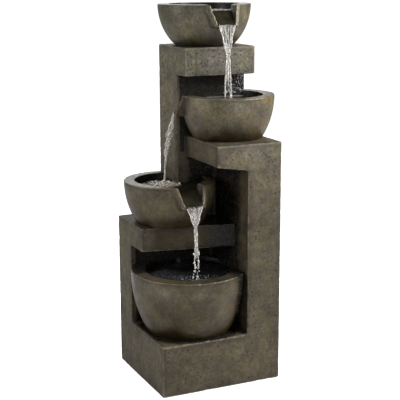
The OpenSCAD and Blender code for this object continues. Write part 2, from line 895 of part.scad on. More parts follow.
// A ring of points round a station, square to its direction
function ring_points(station, r) = let (p = station[0], t = station[1], k = 1 + t[2])
    [for (j = [0:hose_sides - 1]) let (a = 360 * j / hose_sides)
        p + r * cos(a) * [1 - t[0] * t[0] / k, -t[0] * t[1] / k, -t[0]]
            + r * sin(a) * [-t[0] * t[1] / k, 1 - t[1] * t[1] / k, -t[1]]];

module riser_hose() {
    n = len(riser_stations);
    m = hose_sides;
    inner = n * m;
    points = concat([for (s = riser_stations) each ring_points(s, hose_r / cos(180 / m))],
        [for (s = riser_stations) each ring_points(s, hose_in_r / cos(180 / m))]);
    walls = [for (i = [0:n - 2]) for (j = [0:m - 1])
        let (a = i * m + j, b = i * m + (j + 1) % m)
        each [[a, a + m, b], [b, a + m, b + m],
            [inner + a, inner + b, inner + a + m], [inner + b, inner + b + m, inner + a + m]]];
    ends = [for (j = [0:m - 1])
        let (a = j, b = (j + 1) % m, c = (n - 1) * m + a, d = (n - 1) * m + b)
        each [[a, b, inner + b], [a, inner + b, inner + a],
            [c, inner + d, d], [c, inner + c, inner + d]]];
    color([0.55, 0.56, 0.52]) polyhedron(points, concat(walls, ends));
}

module hose_clamps() {
    in_r = hose_r / cos(180 / hose_sides) + 0.05;
    color(steel) for (p = [[riser_x, pump_at[1], hose_z0 + 1], [top_at[0], top_at[1], hose_z1 - 11]])
        translate(p) {
            ring(in_r + 1.2, in_r, 8);
            difference() {
                block([in_r + 0.8, -4, 0], [in_r + 7, 4, 8]);
                translate([in_r + 4, 0, 4]) rod_y(2.05, -5, 5);
            }
            translate([in_r + 4, 0, 4]) rod_y(2, -7, 5);
        }
}

// ---- top bowl inlet ----

inlet_z = head_top + bowl_floor_t;

module bulkhead_fitting() {
    color(plastic) translate([top_at[0], top_at[1], 0]) difference() {
        union() {
            translate([0, 0, inlet_z + 2]) cylinder(r1 = 18, r2 = 12, h = 6, $fn = 64);
            translate([0, 0, hose_z1 + 2]) cylinder(r = bulkhead_r, h = inlet_z + 3 - hose_z1 - 2, $fn = 64);
            translate([0, 0, hose_z1 - 20]) cylinder(r = nozzle_r, h = 24, $fn = 48);
        }
        translate([0, 0, hose_z1 - 21]) cylinder(r = 4.5, h = inlet_z - hose_z1 + 40, $fn = 48);
    }
}

module bulkhead_gasket() {
    color(rubber) translate([top_at[0], top_at[1], inlet_z]) ring(19, bulkhead_r + 0.1, 2);
}

module bulkhead_nut() {
    color(plastic) translate([top_at[0], top_at[1], head_top - wall - 9]) difference() {
        cylinder(r = 18, h = 9, $fn = 6);
        translate([0, 0, -eps]) cylinder(r = bulkhead_r + 0.05, h = 9 + 2 * eps, $fn = 64);
    }
}

// ---- drain and cable outlet ----

module drain_tube() {
    color(plastic) translate([drain_x, 0, drain_z]) difference() {
        union() {
            rod_y(drain_r, 82, back_y + 1);
            rod_y(drain_r + 3, back_y + 0.2, back_y + 2);
        }
        rod_y(drain_in_r, 81, back_y + 3);
    }
}

module drain_plug() {
    color(rubber) translate([drain_x, 0, drain_z]) {
        rod_y(drain_in_r - 0.1, back_y - 16, back_y + 3);
        rod_y(10, back_y + 2.2, back_y + 6);
        difference() {
            block([-8, back_y + 5, -1.5], [8, back_y + 16, 1.5]);
            translate([0, back_y + 11, -2]) cylinder(r = 3.5, h = 4, $fn = 48);
        }
    }
}

module cable_grommet() {
    color(rubber) translate([grommet_x, 0, grommet_z]) difference() {
        union() {
            rod_y(grommet_r - 0.05, back_y - wall - eps, back_y + eps);
            rod_y(grommet_r + 3, back_y + 0.05, back_y + 2.5);
            rod_y(grommet_r + 3, back_y - wall - 2.5, back_y - wall - 0.05);
        }
        rod_y(cable_r, back_y - wall - 3, back_y + 3);
    }
}

plinth();
base_plate();
foot_pads();
base_screws();
right_column();
low_walls();
shelf();
back_panel();
tower();
tower_head();
joining_bolts();
threaded_inserts();
basin();
lower_bowl();
upper_bowl();
top_bowl();
bowl_bolts();
bowl_washers();
bowl_nuts();
access_door();
door_hinge_leaves();
frame_hinge_leaves();
hinge_pins();
door_screws();
frame_screws();
latch_knob();
latch_cam();
pump_housing();
pump_volute();
volute_seal();
rotor_magnet();
impeller();
rotor_shaft();
shaft_bushes();
intake_cover();
filter_foam();
flow_dial();
suction_cups();
outlet_nozzle();
riser_hose();
hose_clamps();
bulkhead_fitting();
bulkhead_gasket();
bulkhead_nut();
drain_tube();
drain_plug();
cable_grommet();
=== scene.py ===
"""The looks of a tiered water fountain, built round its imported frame.

Metres, +Z up, the front faces -Y and +X is to the right. Sizes below are in millimetres, as in
the part's own source, and mm() turns them into metres.
"""
import functools
import json
import math
import random

import bmesh
import bpy
import numpy as np
from mathutils import Matrix, Vector, noise


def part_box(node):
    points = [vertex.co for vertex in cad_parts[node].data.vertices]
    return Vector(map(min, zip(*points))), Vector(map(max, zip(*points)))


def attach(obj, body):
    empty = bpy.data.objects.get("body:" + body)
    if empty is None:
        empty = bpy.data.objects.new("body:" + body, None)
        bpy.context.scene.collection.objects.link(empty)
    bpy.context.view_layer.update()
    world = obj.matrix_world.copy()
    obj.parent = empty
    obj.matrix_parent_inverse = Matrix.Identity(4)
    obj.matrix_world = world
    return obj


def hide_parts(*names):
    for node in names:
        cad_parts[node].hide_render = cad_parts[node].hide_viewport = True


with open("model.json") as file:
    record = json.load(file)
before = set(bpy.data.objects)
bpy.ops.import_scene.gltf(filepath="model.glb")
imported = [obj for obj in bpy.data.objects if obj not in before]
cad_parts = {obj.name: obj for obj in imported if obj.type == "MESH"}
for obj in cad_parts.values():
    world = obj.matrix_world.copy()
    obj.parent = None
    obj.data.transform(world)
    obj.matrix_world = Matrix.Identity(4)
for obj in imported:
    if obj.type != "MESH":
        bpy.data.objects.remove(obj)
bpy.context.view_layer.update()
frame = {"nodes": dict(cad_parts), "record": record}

# ---------------------------------------------------------------- sizes, in millimetres

WALL = 9
ARM_END_Z, ARM_ROOT_Z, ARM_FILLET = 594, 582, 8
LOW_WALL_Y = 64
SHELF_LEFT_Y, SHELF_RIGHT_Y = -19, -70

BOWL_R, RIM_W = 124, 30
BOWL_FOOT_R, TOP_FOOT_R = 91, 77
BASIN_R, BASIN_RIM_W, BASIN_FOOT_R, BASIN_WALL, FLANGE_T = 155, 38, 113, 14, 14
BOWL_FLOOR_T, FLOOR_SHARE = 16, 0.64
BOLT_HOLE_R, BULKHEAD_HOLE_R = 2.7, 11
# The basin's bolt ends inside its floor, with its nut in a pocket from below
BASIN_HOLE_H, NUT_POCKET_R, NUT_POCKET_H = 11, 4.79, 4.1
FOOT_RING_H, FOOT_RING_OUT = 4, 1.5
BACK_WALL_T, BACK_WALL_DROP = 8, 12
DOOR_GAP, DOOR_REBATE, DOOR_T, DOOR_PAD_IN = 1.5, 6, 5.7, 12.5
DRAIN_R, GROMMET_R, LATCH_SPINDLE_R = 9.2, 7, 3.1

CHANNEL_W, LIP_W = 74, 48
CHEEK_RIM_T, CHEEK_LIP_T = 17, 11
LIP_DROP, LIP_OUT, LIP_T, SILL_DROP = 51, 17, 4, 18
LOWER_TURN, UPPER_TURN = 4, 116
WATER_DROP, BASIN_WATER_DROP = 15, 17
# The water shows from above only: how deep the pools go, and the film over and into a spout's floor
POOL_T, FILM_OVER, FILM_INTO = 8, 2.2, 1.5
# Rings where a stream lands: their height, the way between them, how far they reach. Then small waves.
RING_H, RING_STEP, RING_REACH, WAVE_H = 1.1, 15, 45, 0.5

BLOCK_VOXEL, BOWL_VOXEL, BASIN_VOXEL, WATER_VOXEL = 3.2, 2.2, 2.4, 2.0
# How many times the bend of the surface is spread to find its broad borders
BORDER_STEPS = 24
# Depth of the chips along the edges, height of the cast grain, and the bend that stays a sharp edge
CHIP_DEPTH, GRAIN_H, SHARP_DEGREES = 2.2, 0.12, 40

# Painted shade low down: it starts at this height and deepens over this fall
SHADE_TOP_Z, SHADE_FADE = 780, 400

# Cutting tools reach over the face they cut by OVER or by PAST, and FAR is beyond every side
OVER, PAST, FAR = 2, 20, 400


def mm(*values):
    """Millimetres to metres, as a number or a Vector."""
    return values[0] / 1000 if len(values) == 1 else Vector(values) / 1000


def box_mm(node):
    """A CAD node's corners in millimetres."""
    low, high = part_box(node)
    return low * 1000, high * 1000


PLINTH_LOW, PLINTH_HIGH = box_mm("plinth")
COLUMN_LOW, COLUMN_HIGH = box_mm("right_column")
SHELF_LOW, SHELF_HIGH = box_mm("shelf")
TOWER_LOW, TOWER_HIGH = box_mm("tower")
HEAD_LOW, HEAD_HIGH = box_mm("tower_head")
DOOR_LOW, DOOR_HIGH = box_mm("access_door")
BASIN_LOW, BASIN_HIGH = box_mm("basin")
LOWER_LOW, LOWER_HIGH = box_mm("lower_bowl")
UPPER_LOW, UPPER_HIGH = box_mm("upper_bowl")
TOP_LOW, TOP_HIGH = box_mm("top_bowl")

LEFT, RIGHT = PLINTH_LOW.x, PLINTH_HIGH.x
FRONT, BACK = PLINTH_LOW.y, PLINTH_HIGH.y
PLINTH_TOP = PLINTH_HIGH.z
COLUMN_X = SHELF_HIGH.x
SHELF_Z, SHELF_TOP = SHELF_LOW.z, SHELF_HIGH.z
ARM_X = COLUMN_LOW.x
TOWER_Y = TOWER_LOW.y


def bowl_facts(x, y, low, high, foot, turn):
    """A bowl's axis and foot, its rim's height, its own height, its foot's radius, its spout's turn."""
    return dict(at=Vector((x, y, low.z)), rim=high.z, height=high.z - low.z, foot=foot, turn=turn)


BOWLS = {
    "top_bowl": bowl_facts(TOP_LOW.x + BOWL_R, TOP_HIGH.y - BOWL_R, TOP_LOW, TOP_HIGH, TOP_FOOT_R, 0),
    "upper_bowl": bowl_facts(UPPER_HIGH.x - BOWL_R, UPPER_LOW.y + BOWL_R, UPPER_LOW, UPPER_HIGH,
                             BOWL_FOOT_R, -UPPER_TURN),
    "lower_bowl": bowl_facts(LOWER_LOW.x + BOWL_R, LOWER_HIGH.y - BOWL_R, LOWER_LOW, LOWER_HIGH,
                             BOWL_FOOT_R, LOWER_TURN),
}
BASIN_AT = Vector((BASIN_LOW.x + BASIN_R, BASIN_LOW.y + BASIN_R, BASIN_LOW.z))
BASIN_H = BASIN_HIGH.z - BASIN_LOW.z


# ---------------------------------------------------------------- mesh helpers

def link(name, data):
    obj = bpy.data.objects.new(name, data)
    bpy.context.scene.collection.objects.link(obj)
    return obj


def drop(obj):
    mesh = obj.data
    bpy.data.objects.remove(obj)
    bpy.data.meshes.remove(mesh)


def from_faces(name, points, faces):
    """An object from points in millimetres."""
    mesh = bpy.data.meshes.new(name)
    mesh.from_pydata([mm(*p) for p in points], [], faces)
    bm = bmesh.new()
    bm.from_mesh(mesh)
    bmesh.ops.recalc_face_normals(bm, faces=bm.faces)
    bm.to_mesh(mesh)
    bm.free()
    return link(name, mesh)


def block(low, high):
    xs, ys, zs = zip(low, high)
    points = [(x, y, z) for z in zs for y in ys for x in xs]
    faces = [(0, 2, 3, 1), (4, 5, 7, 6), (0, 1, 5, 4), (2, 6, 7, 3), (0, 4, 6, 2), (1, 3, 7, 5)]
    return from_faces("block", points, faces)


def skin_over(rings):
    """A closed skin over rings of equal length, with both ends filled, as (points, faces)."""
    n = len(rings[0])
    starts = range(0, n * len(rings), n)
    faces = [(a + i, a + (i + 1) % n, a + n + (i + 1) % n, a + n + i) for a in starts[:-1] for i in range(n)]
    ends = [tuple(range(n)), tuple(range(starts[-1], starts[-1] + n))[::-1]]
    return [point for ring in rings for point in ring], faces + ends


def prism(outline, low, high, axis):
    """A closed outline run along axis from low to high. axis is "y" (outline in x, z) or "z"."""
    place = (lambda u, v, w: (u, w, v)) if axis == "y" else (lambda u, v, w: (u, v, w))
    return from_faces("prism", *skin_over([[place(u, v, end) for u, v in outline] for end in (low, high)]))


def turned(profile, steps=128):
    """A closed solid of revolution. profile runs from the axis at the top to the axis below."""
    inner = profile[1:-1]
    points = [(0, 0, profile[0][1])]
    angles = [2 * math.pi * i / steps for i in range(steps)]
    for r, z in inner:
        points += [(r * math.cos(a), r * math.sin(a), z) for a in angles]
    points.append((0, 0, profile[-1][1]))
    last = len(points) - 1
    faces = [(0, 1 + i, 1 + (i + 1) % steps) for i in range(steps)]
    for k in range(len(inner) - 1):
        a, b = 1 + k * steps, 1 + (k + 1) * steps
        faces += [(a + i, b + i, b + (i + 1) % steps, a + (i + 1) % steps) for i in range(steps)]
    base = last - steps
    faces += [(base + i, last, base + (i + 1) % steps) for i in range(steps)]
    return from_faces("turned", points, faces)


def modified(obj, kind, **settings):
    """Applies one modifier to an object's mesh."""
    step = obj.modifiers.new("step", kind)
    for key, value in settings.items():
        setattr(step, key, value)
    old = obj.data
    mesh = bpy.data.meshes.new_from_object(obj.evaluated_get(bpy.context.evaluated_depsgraph_get()))
    obj.modifiers.clear()
    obj.data = mesh
    bpy.data.meshes.remove(old)
    return obj


def boolean(obj, tool, operation):
    """Joins, cuts or crops an object with a tool, which is used up."""
    modified(obj, "BOOLEAN", operation=operation, solver="MANIFOLD", object=tool)
    drop(tool)
    return obj


def union(*objects):
    first = objects[0]
    for other in objects[1:]:
        boolean(first, other, "UNION")
    return first


def subtract(obj, *tools):
    for tool in tools:
        boolean(obj, tool, "DIFFERENCE")
    return obj


def joined(name, *objects):
    """One object from the meshes of several, which are used up. They may overlap."""
    bm = bmesh.new()
    for obj in objects:
        bm.from_mesh(obj.data)
        drop(obj)
    mesh = bpy.data.meshes.new(name)
    bm.to_mesh(mesh)
    bm.free()
    return link(name, mesh)


def remeshed(obj, voxel, smooth=2):
    modified(obj, "REMESH", mode="VOXEL", voxel_size=mm(voxel))
    return modified(obj, "SMOOTH", factor=0.5, iterations=smooth)


def coordinates(mesh, attribute="co"):
    values = np.empty(len(mesh.vertices) * 3)
    mesh.vertices.foreach_get(attribute, values)
    return values.reshape(-1, 3)


def move_vertices(mesh, points):
    mesh.vertices.foreach_set("co", points.ravel())
    mesh.update()


def neighbour_mean(mesh, values):
    """Mean of each vertex's neighbours."""
    edges = np.empty(len(mesh.edges) * 2, int)
    mesh.edges.foreach_get("vertices", edges)
    a, b = edges.reshape(-1, 2).T
    total = np.zeros_like(values)
    count = np.zeros(len(values))
    for here, there in ((a, b), (b, a)):
        np.add.at(total, here, values[there])
        np.add.at(count, here, 1)
    count = np.maximum(count, 1)
    return total / (count[:, None] if values.ndim > 1 else count)


def bend_of(mesh):
    """How far each vertex stands out from its neighbours, in metres: positive on outer edges."""
    points = coordinates(mesh)
    points = 0.5 * points + 0.5 * neighbour_mean(mesh, points)
    lean = neighbour_mean(mesh, points) - points
    value = -np.einsum("ij,ij->i", lean, coordinates(mesh, "normal"))
    return 0.4 * value + 0.6 * neighbour_mean(mesh, value)


def store(mesh, name, values):
    layer = mesh.attributes.get(name) or mesh.attributes.new(name, "FLOAT", "POINT")
    layer.data.foreach_set("value", np.asarray(values, np.float32))


def rough_noise(points, scale, seed, octaves):
    """Noise from about -1 to 1 at each point, for features of about 1/scale metres."""
    shift = Vector((seed * 7.31, seed * 3.17, seed * 5.73))
    return np.array([noise.fractal(Vector(p) * scale + shift, 1.0, 2.0, octaves) for p in points])


# ---------------------------------------------------------------- wetness and painted shade

def smooth_step(value, low, high):
    t = np.clip((value - low) / (high - low), 0, 1)
    return t * t * (3 - 2 * t)


def spout_place(bowl, x, y):
    """How far points lie along a bowl's spout from the bowl's axis, and to the side of it."""
    out = math.radians(bowl["turn"] - 90)
    dx, dy = x - bowl["at"].x, y - bowl["at"].y
    return dx * math.cos(out) + dy * math.sin(out), np.abs(dy * math.cos(out) - dx * math.sin(out))


def column_face(x, z, normals):
    """Where the column's face towards the bowls is, under its arm."""
    return (np.abs(x - COLUMN_X) < 4) * (z > PLINTH_TOP + 3) * (z < ARM_END_Z + 4) * (normals[:, 0] < -0.5)


def shelf_face(x, y, z):
    """Where the shelf's outside is."""
    return (z > SHELF_Z - 2) * (z < SHELF_TOP + 3) * (y < LOW_WALL_Y) * (x < COLUMN_X - 1)


def bowl_wet_and_shade(points, normals):
    """Wet share of a bowl's surface: its inside and its spout, the basin's far rim, wet and in painted
    shade, and the column's painted shadow on the side towards it.
    """
    x, y, z = (points * 1000).T
    from_axis = np.hypot(x - BASIN_AT.x, y - BASIN_AT.y)
    mouth = (from_axis < BASIN_R - BASIN_RIM_W + 1.5) * (z > BASIN_AT.z + 20) * (z < BASIN_HIGH.z - 1)
    # the far part of the basin's rim, under the shelf: wet, and in painted shade
    basin_rim = (z > BASIN_HIGH.z - 24) * (z < BASIN_HIGH.z + 3) * (from_axis < BASIN_R + 3)
    # the column's painted shadow on the side of each bowl towards it
    by_column = smooth_step(x, COLUMN_X - 60, COLUMN_X - 16) * (z < ARM_END_Z) * (x < COLUMN_X + 2)
    shares = [mouth, basin_rim * smooth_step(y, BASIN_AT.y - 28, BASIN_AT.y + 26), 0.85 * by_column]
    insides = [(b["at"], b["rim"], BOWL_R - RIM_W) for b in BOWLS.values()]
    for at, rim, inner_r in insides + [(BASIN_AT, BASIN_HIGH.z, BASIN_R - BASIN_WALL)]:
        dx, dy = x - at.x, y - at.y
        r = np.hypot(dx, dy)
        inward = (normals[:, 0] * dx + normals[:, 1] * dy) / np.maximum(r, 1) < 0.25
        inside = (z < rim - 1) * (z > at.z + BOWL_FLOOR_T - 4) * inward * (normals[:, 2] > -0.3)
        shares.append(inside * smooth_step(inner_r + 3 - r, 0, 3))
    for bowl in BOWLS.values():
        along, across = spout_place(bowl, x, y)
        below = bowl["rim"] - z
        half = half_at(CHANNEL_W / 2, LIP_W / 2, below)
        chute = (along > 60) * (across < half + 0.8) * (below > 3) * (below < LIP_DROP + 1)
        shares.append(chute * smooth_step(half + 0.8 - across, 0, 1.5))
    return np.maximum.reduce(shares)


def shade_low_down(z):
    """Painted shade, as the light falls off towards the ground: nothing at the top, one from half way down.
    """
    return smooth_step(SHADE_TOP_Z - z, 0, SHADE_FADE)


def bowl_painted_shade(points, normals):
    """Painted shade on a bowl's outside: darker low down and towards its foot, a painted shadow at the foot,
    the column's painted shadow, and darker round the side spout.
    """
    x, y, z = (points * 1000).T
    shade_and_damp = 0.42 * shade_low_down(z)
    for foot, rim in [(b["at"].z, b["rim"]) for b in BOWLS.values()] + [(BASIN_AT.z, BASIN_HIGH.z)]:
        tall = rim - foot
        # painted shade: darker towards the foot, as the light comes from above
        shade = 0.42 * smooth_step(foot + 0.85 * tall - z, 0, 0.8 * tall)
        # a painted shadow at the foot
        shade += 0.35 * smooth_step(foot + 40 - z, 0, 38)
        shade_and_damp = shade_and_damp + (z > foot - 1) * (z < rim + 1) * shade
    # the column's painted shadow
    by_column = smooth_step(x, COLUMN_X - 80, COLUMN_X - 22) * (z < ARM_END_Z)
    along, _ = spout_place(BOWLS["upper_bowl"], x, y)
    spout = 0.8 * smooth_step(along, BOWL_R - 34, BOWL_R - 8) * (z > UPPER_LOW.z) * (z < UPPER_HIGH.z + 3)
    return np.clip(np.maximum.reduce([shade_and_damp, by_column, spout]), 0, 1)


def block_wet_and_shade(points, normals):
    """Wet share of the castings, from where the water runs and splashes, with painted shade in the recess,
    on the column's face and under the arm, and the column's painted shadow on the shelf's end.
    """
    x, y, z = (points * 1000).T
    recess = (z > PLINTH_TOP + 2) * (z < SHELF_Z + 1) * (x > LEFT + 12) * (x < COLUMN_X + 4)
    plinth_top = (np.abs(z - PLINTH_TOP) < 3) * (x < COLUMN_X) * (x > LEFT + 8) * (y < LOW_WALL_Y + 4)
    from_axis = np.hypot(x - BASIN_AT.x, y - BASIN_AT.y)
    tower = (np.abs(y - TOWER_Y) < 4) * (normals[:, 1] < -0.5)
    low_tower = tower * (z < COLUMN_HIGH.z - 40) * smooth_step(x, TOWER_LOW.x + 20, TOWER_LOW.x + 48)
    high_tower = tower * (z > COLUMN_HIGH.z - 42) * smooth_step(HEAD_LOW.z - z, -30, 12)
    arm_under = (normals[:, 2] < -0.5) * (z > ARM_ROOT_Z - 12) * (z < ARM_END_Z + 3) * (x < COLUMN_X)
    return np.maximum.reduce([
        # the recess, near black: partly wet, partly painted shade
        0.95 * recess * (y > SHELF_RIGHT_Y) * (y < LOW_WALL_Y + 6),
        0.8 * plinth_top * smooth_step(BASIN_R + 2 - from_axis, 0, 30),
        # the column's face: partly wet, partly painted shade
        0.8 * column_face(x, z, normals) * smooth_step(y, FRONT + 16, FRONT + 70),
        # the shelf's end by the column: the column's painted shadow
        0.95 * shelf_face(x, y, z) * smooth_step(x, COLUMN_X - 88, COLUMN_X - 34),
        low_tower,
        0.95 * high_tower * smooth_step(x, TOWER_LOW.x + 2, TOWER_LOW.x + 14),
        # under the arm: painted shade
        0.8 * arm_under])


def block_shade_and_damp(points, normals):
    """Darker, dull parts of the castings: painted shade low down, deeper on the front faces; the shelf's
    front, damp and in painted shadow; the arm's end, damp and in painted shade; the column's face, wet and
    in painted shade; the ledges' tops in painted shade.
    """
    x, y, z = (points * 1000).T
    return np.maximum.reduce([
        # painted shade low down, deeper on the front faces
        shade_low_down(z) * np.where(normals[:, 1] < -0.5, 0.62, 0.47),
        # the shelf's front: damp, and in the painted shadow of the column and the lower bowl
        shelf_face(x, y, z) * (0.55 + 0.45 * smooth_step(x, LEFT + 2, LEFT + 50)),
        # the arm's end: damp, and in painted shade
        0.5 * (np.abs(x - ARM_X) < 3) * (z > ARM_END_Z - 4),
        # the column's face: wet, and in painted shade
        0.85 * column_face(x, z, normals) * (z < ARM_END_Z),
        # the tops of the ledges: painted shade, as little light falls from above
        0.55 * (normals[:, 2] > 0.6) * (z > PLINTH_TOP + 5)])


def mark_wet_and_shade(mesh, wet_and_shade, shade_and_damp):
    points, normals = coordinates(mesh), coordinates(mesh, "normal")
    # wet and damp shares: both also carry painted shade and painted shadow
    store(mesh, "wet_and_shade", wet_and_shade(points, normals))
    store(mesh, "shade_and_damp", shade_and_damp(points, normals))


def finish_stone(obj, voxel, seed, wet_and_shade, shade_and_damp, uneven):
    """Gives a stone piece its uneven surface and chipped edges, then its wear, borders and creases, its wet
    shares, and its painted shade and light.
    """
    mesh = obj.data
    bend = bend_of(mesh) / mm(voxel)
    edge = np.clip(bend / 0.16, 0, 1)
    points = coordinates(mesh)
    normals = coordinates(mesh, "normal")
    swell = rough_noise(points, 14, seed, 2) * mm(uneven)
    chips = np.clip(rough_noise(points, 60, seed + 1, 3) - 0.05, 0, 1) * edge * mm(CHIP_DEPTH)
    grain = rough_noise(points, 170, seed + 2, 2) * mm(GRAIN_H)
    points += normals * (swell + grain - chips)[:, None]
    move_vertices(mesh, points)
    wide = bend
    for _ in range(BORDER_STEPS):
        wide = 0.5 * wide + 0.5 * neighbour_mean(mesh, wide)
    store(mesh, "edge", np.clip(bend / 0.14, 0, 1))
    store(mesh, "border", np.clip(np.abs(wide) / 0.03, 0, 1))
    store(mesh, "crease", np.clip(-bend / 0.12, 0, 1))
    mark_wet_and_shade(mesh, wet_and_shade, shade_and_damp)
    # how far a face turns to the right: painted warm light makes the ochre stronger there
    store(mesh, "painted_right_light", np.clip(0.5 + 0.6 * normals[:, 0], 0, 1))
    store(mesh, "high", smooth_step(points[:, 2] * 1000, HEAD_LOW.z - 12, HEAD_LOW.z + 12))


# ---------------------------------------------------------------- stone blocks

def column_outline(inset):
    """Front view of the column with its arm, set in by a wall."""
    fillet = ARM_FILLET if inset == 0 else ARM_FILLET / 2
    root_x, root_z = COLUMN_X + inset, ARM_ROOT_Z + inset
    arc = [(root_x - fillet + fillet * math.cos(math.radians(a)),
            root_z - fillet + fillet * math.sin(math.radians(a))) for a in range(90, -1, -15)]
    return [(COLUMN_X + inset, PLINTH_TOP - 1), (RIGHT - inset, PLINTH_TOP - 1),
            (RIGHT - inset, COLUMN_HIGH.z - inset), (ARM_X + inset, COLUMN_HIGH.z - inset),
            (ARM_X + inset, ARM_END_Z + inset)] + arc


def shelf_outline(inset):
    """Plan of the shelf, set in by a wall."""
    def front(x):
        return SHELF_LEFT_Y + (SHELF_RIGHT_Y - SHELF_LEFT_Y) * (x - LEFT) / (COLUMN_X - LEFT)
    x0, x1 = LEFT + inset, COLUMN_X - inset
    return [(x0, front(x0) + inset), (x1, front(x1) + inset), (x1, BACK - inset), (x0, BACK - inset)]


def all_blocks():
    """The outsides of all the castings in one mesh, which overlap by a millimetre."""
    x, z = COLUMN_X + 1, 1
    return joined(
        "all_blocks",
        block((LEFT, FRONT, PLINTH_LOW.z), (RIGHT, BACK, PLINTH_TOP)),
        prism(column_outline(0), FRONT, TOWER_Y + 1, "y"),
        block((COLUMN_X, FRONT, PLINTH_TOP - z), (RIGHT, BACK, COLUMN_HIGH.z)),
        block((LEFT, LOW_WALL_Y, PLINTH_TOP - z), (x, BACK, SHELF_Z + z)),
        prism([(min(u + 1, x) if u > 0 else u, v) for u, v in shelf_outline(0)], SHELF_Z,
              SHELF_TOP, "z"),
        block((TOWER_LOW.x, TOWER_Y, SHELF_TOP - z), (x, BACK, COLUMN_HIGH.z + z)),
        block((TOWER_LOW.x, TOWER_Y, COLUMN_HIGH.z - z), (TOWER_HIGH.x, BACK, HEAD_LOW.z + z)),
        block((HEAD_LOW.x, HEAD_LOW.y, HEAD_LOW.z), (HEAD_HIGH.x, BACK, HEAD_HIGH.z)),
    )


def regions():
    """The space that belongs to each casting: together they fill all space, so seams lie flush."""
    low, high = -FAR, FAR
    return {
        "plinth": [((low, low, -10), (high, high, PLINTH_TOP))],
        "low_walls": [((low, low, PLINTH_TOP), (COLUMN_X, BACK - WALL, SHELF_Z))],
        "shelf": [((low, low, SHELF_Z), (COLUMN_X, BACK - WALL, SHELF_TOP))],
        "back_panel": [((low, BACK - WALL, PLINTH_TOP), (COLUMN_X, high, SHELF_TOP))],
        "right_column": [((COLUMN_X, low, PLINTH_TOP), (high, high, COLUMN_HIGH.z)),
                         ((low, low, SHELF_TOP), (COLUMN_X + 0.01, TOWER_Y, COLUMN_HIGH.z))],
        "tower": [((low, TOWER_Y, SHELF_TOP), (COLUMN_X, high, COLUMN_HIGH.z + 0.01)),
                  ((low, low, COLUMN_HIGH.z), (high, high, HEAD_LOW.z))],
        "tower_head": [((low, low, HEAD_LOW.z), (high, high, 3 * FAR))],
    }


def room(low_x, high_x, low_z, high_z, low_y=TOWER_Y + WALL, high_y=BACK - WALL):
    """A box-shaped hollow: its ends across, then up, then from front to back."""
    return block((low_x, low_y, low_z), (high_x, high_y, high_z))


def hollows():
    """The space inside each casting."""
    w = WALL
    column_in, tower_in, head_in = COLUMN_X - w, TOWER_LOW.x + w, HEAD_LOW.x + w
    return {
        "plinth": [room(LEFT + w, RIGHT - w, -PAST, PLINTH_TOP - w, FRONT + w)],
        "low_walls": [room(LEFT + w, column_in, PLINTH_TOP - PAST, SHELF_Z + PAST, LOW_WALL_Y + w, BACK)],
        "shelf": [
            prism(shelf_outline(w), SHELF_Z + w, SHELF_TOP - w - 0.1, "z"),
            room(LEFT + w, column_in, SHELF_Z - PAST, SHELF_TOP - w, LOW_WALL_Y + w, BACK),
            room(tower_in, column_in, SHELF_TOP - w - 1, SHELF_TOP + PAST, high_y=BACK)],
        "back_panel": [],
        "right_column": [
            prism(column_outline(w), FRONT + w, TOWER_Y - w, "y"),
            room(COLUMN_X + w, RIGHT - w, PLINTH_TOP - PAST, COLUMN_HIGH.z - w, FRONT + w)],
        "tower": [
            room(tower_in, column_in, SHELF_TOP - PAST, HEAD_LOW.z + PAST),
            room(tower_in, TOWER_HIGH.x - w, COLUMN_HIGH.z + w, HEAD_LOW.z + PAST)],
        "tower_head": [
            room(head_in, HEAD_HIGH.x - w, HEAD_LOW.z + w, HEAD_HIGH.z - w, HEAD_LOW.y + w),
            room(head_in, HEAD_HIGH.x - w, HEAD_LOW.z - PAST, HEAD_HIGH.z - w - 1)],
    }


def outline_points(rim, foot, height, steps=24):
    """A bowl's outline as (radius, z) points: an ellipse's arc from the rim down to the foot."""
    belly = height / math.sqrt(1 - (foot / rim) ** 2)
    drops = [height * i / steps for i in range(steps + 1)]
    return [(rim * math.sqrt(1 - (d / belly) ** 2), height - d) for d in drops]


def basin_space(gap):
    """The basin's outside, enlarged by a gap."""
    ring = BASIN_FOOT_R + FOOT_RING_OUT + gap
    points = [(r, z) for r, z in outline_points(BASIN_R + gap, BASIN_FOOT_R + gap, BASIN_H) if r > ring]
    shape = turned([(0, BASIN_H + gap)] + points + [(ring, FOOT_RING_H + gap), (ring, -1), (0, -1)])
    shape.data.transform(Matrix.Translation(mm(*BASIN_AT)))
    return shape


def round_bar(radius, start, end, steps=48):
    """A closed cylinder between two points in millimetres."""
    start, end = Vector(start), Vector(end)
    bar = turned([(0, (end - start).length), (radius, (end - start).length), (radius, 0), (0, 0)], steps)
    turn = Vector((0, 0, 1)).rotation_difference(end - start).to_matrix().to_4x4()
    bar.data.transform(Matrix.Translation(mm(*start)) @ turn)
    return bar


def drill_up(bowl_shell, radius, at, height, sides=48):
    """Bores up a bowl's axis, from under its foot to a height above it."""
    subtract(bowl_shell, round_bar(radius, (at.x, at.y, at.z - 5), (at.x, at.y, at.z + height), sides))


def drill_through(piece, radius, node, start, end):
    """Bores a piece from front to back, in line with the node that goes through it."""
    low, high = box_mm(node)
    middle = (low + high) / 2
    subtract(piece, round_bar(radius, (middle.x, start, middle.z), (middle.x, end, middle.z)))


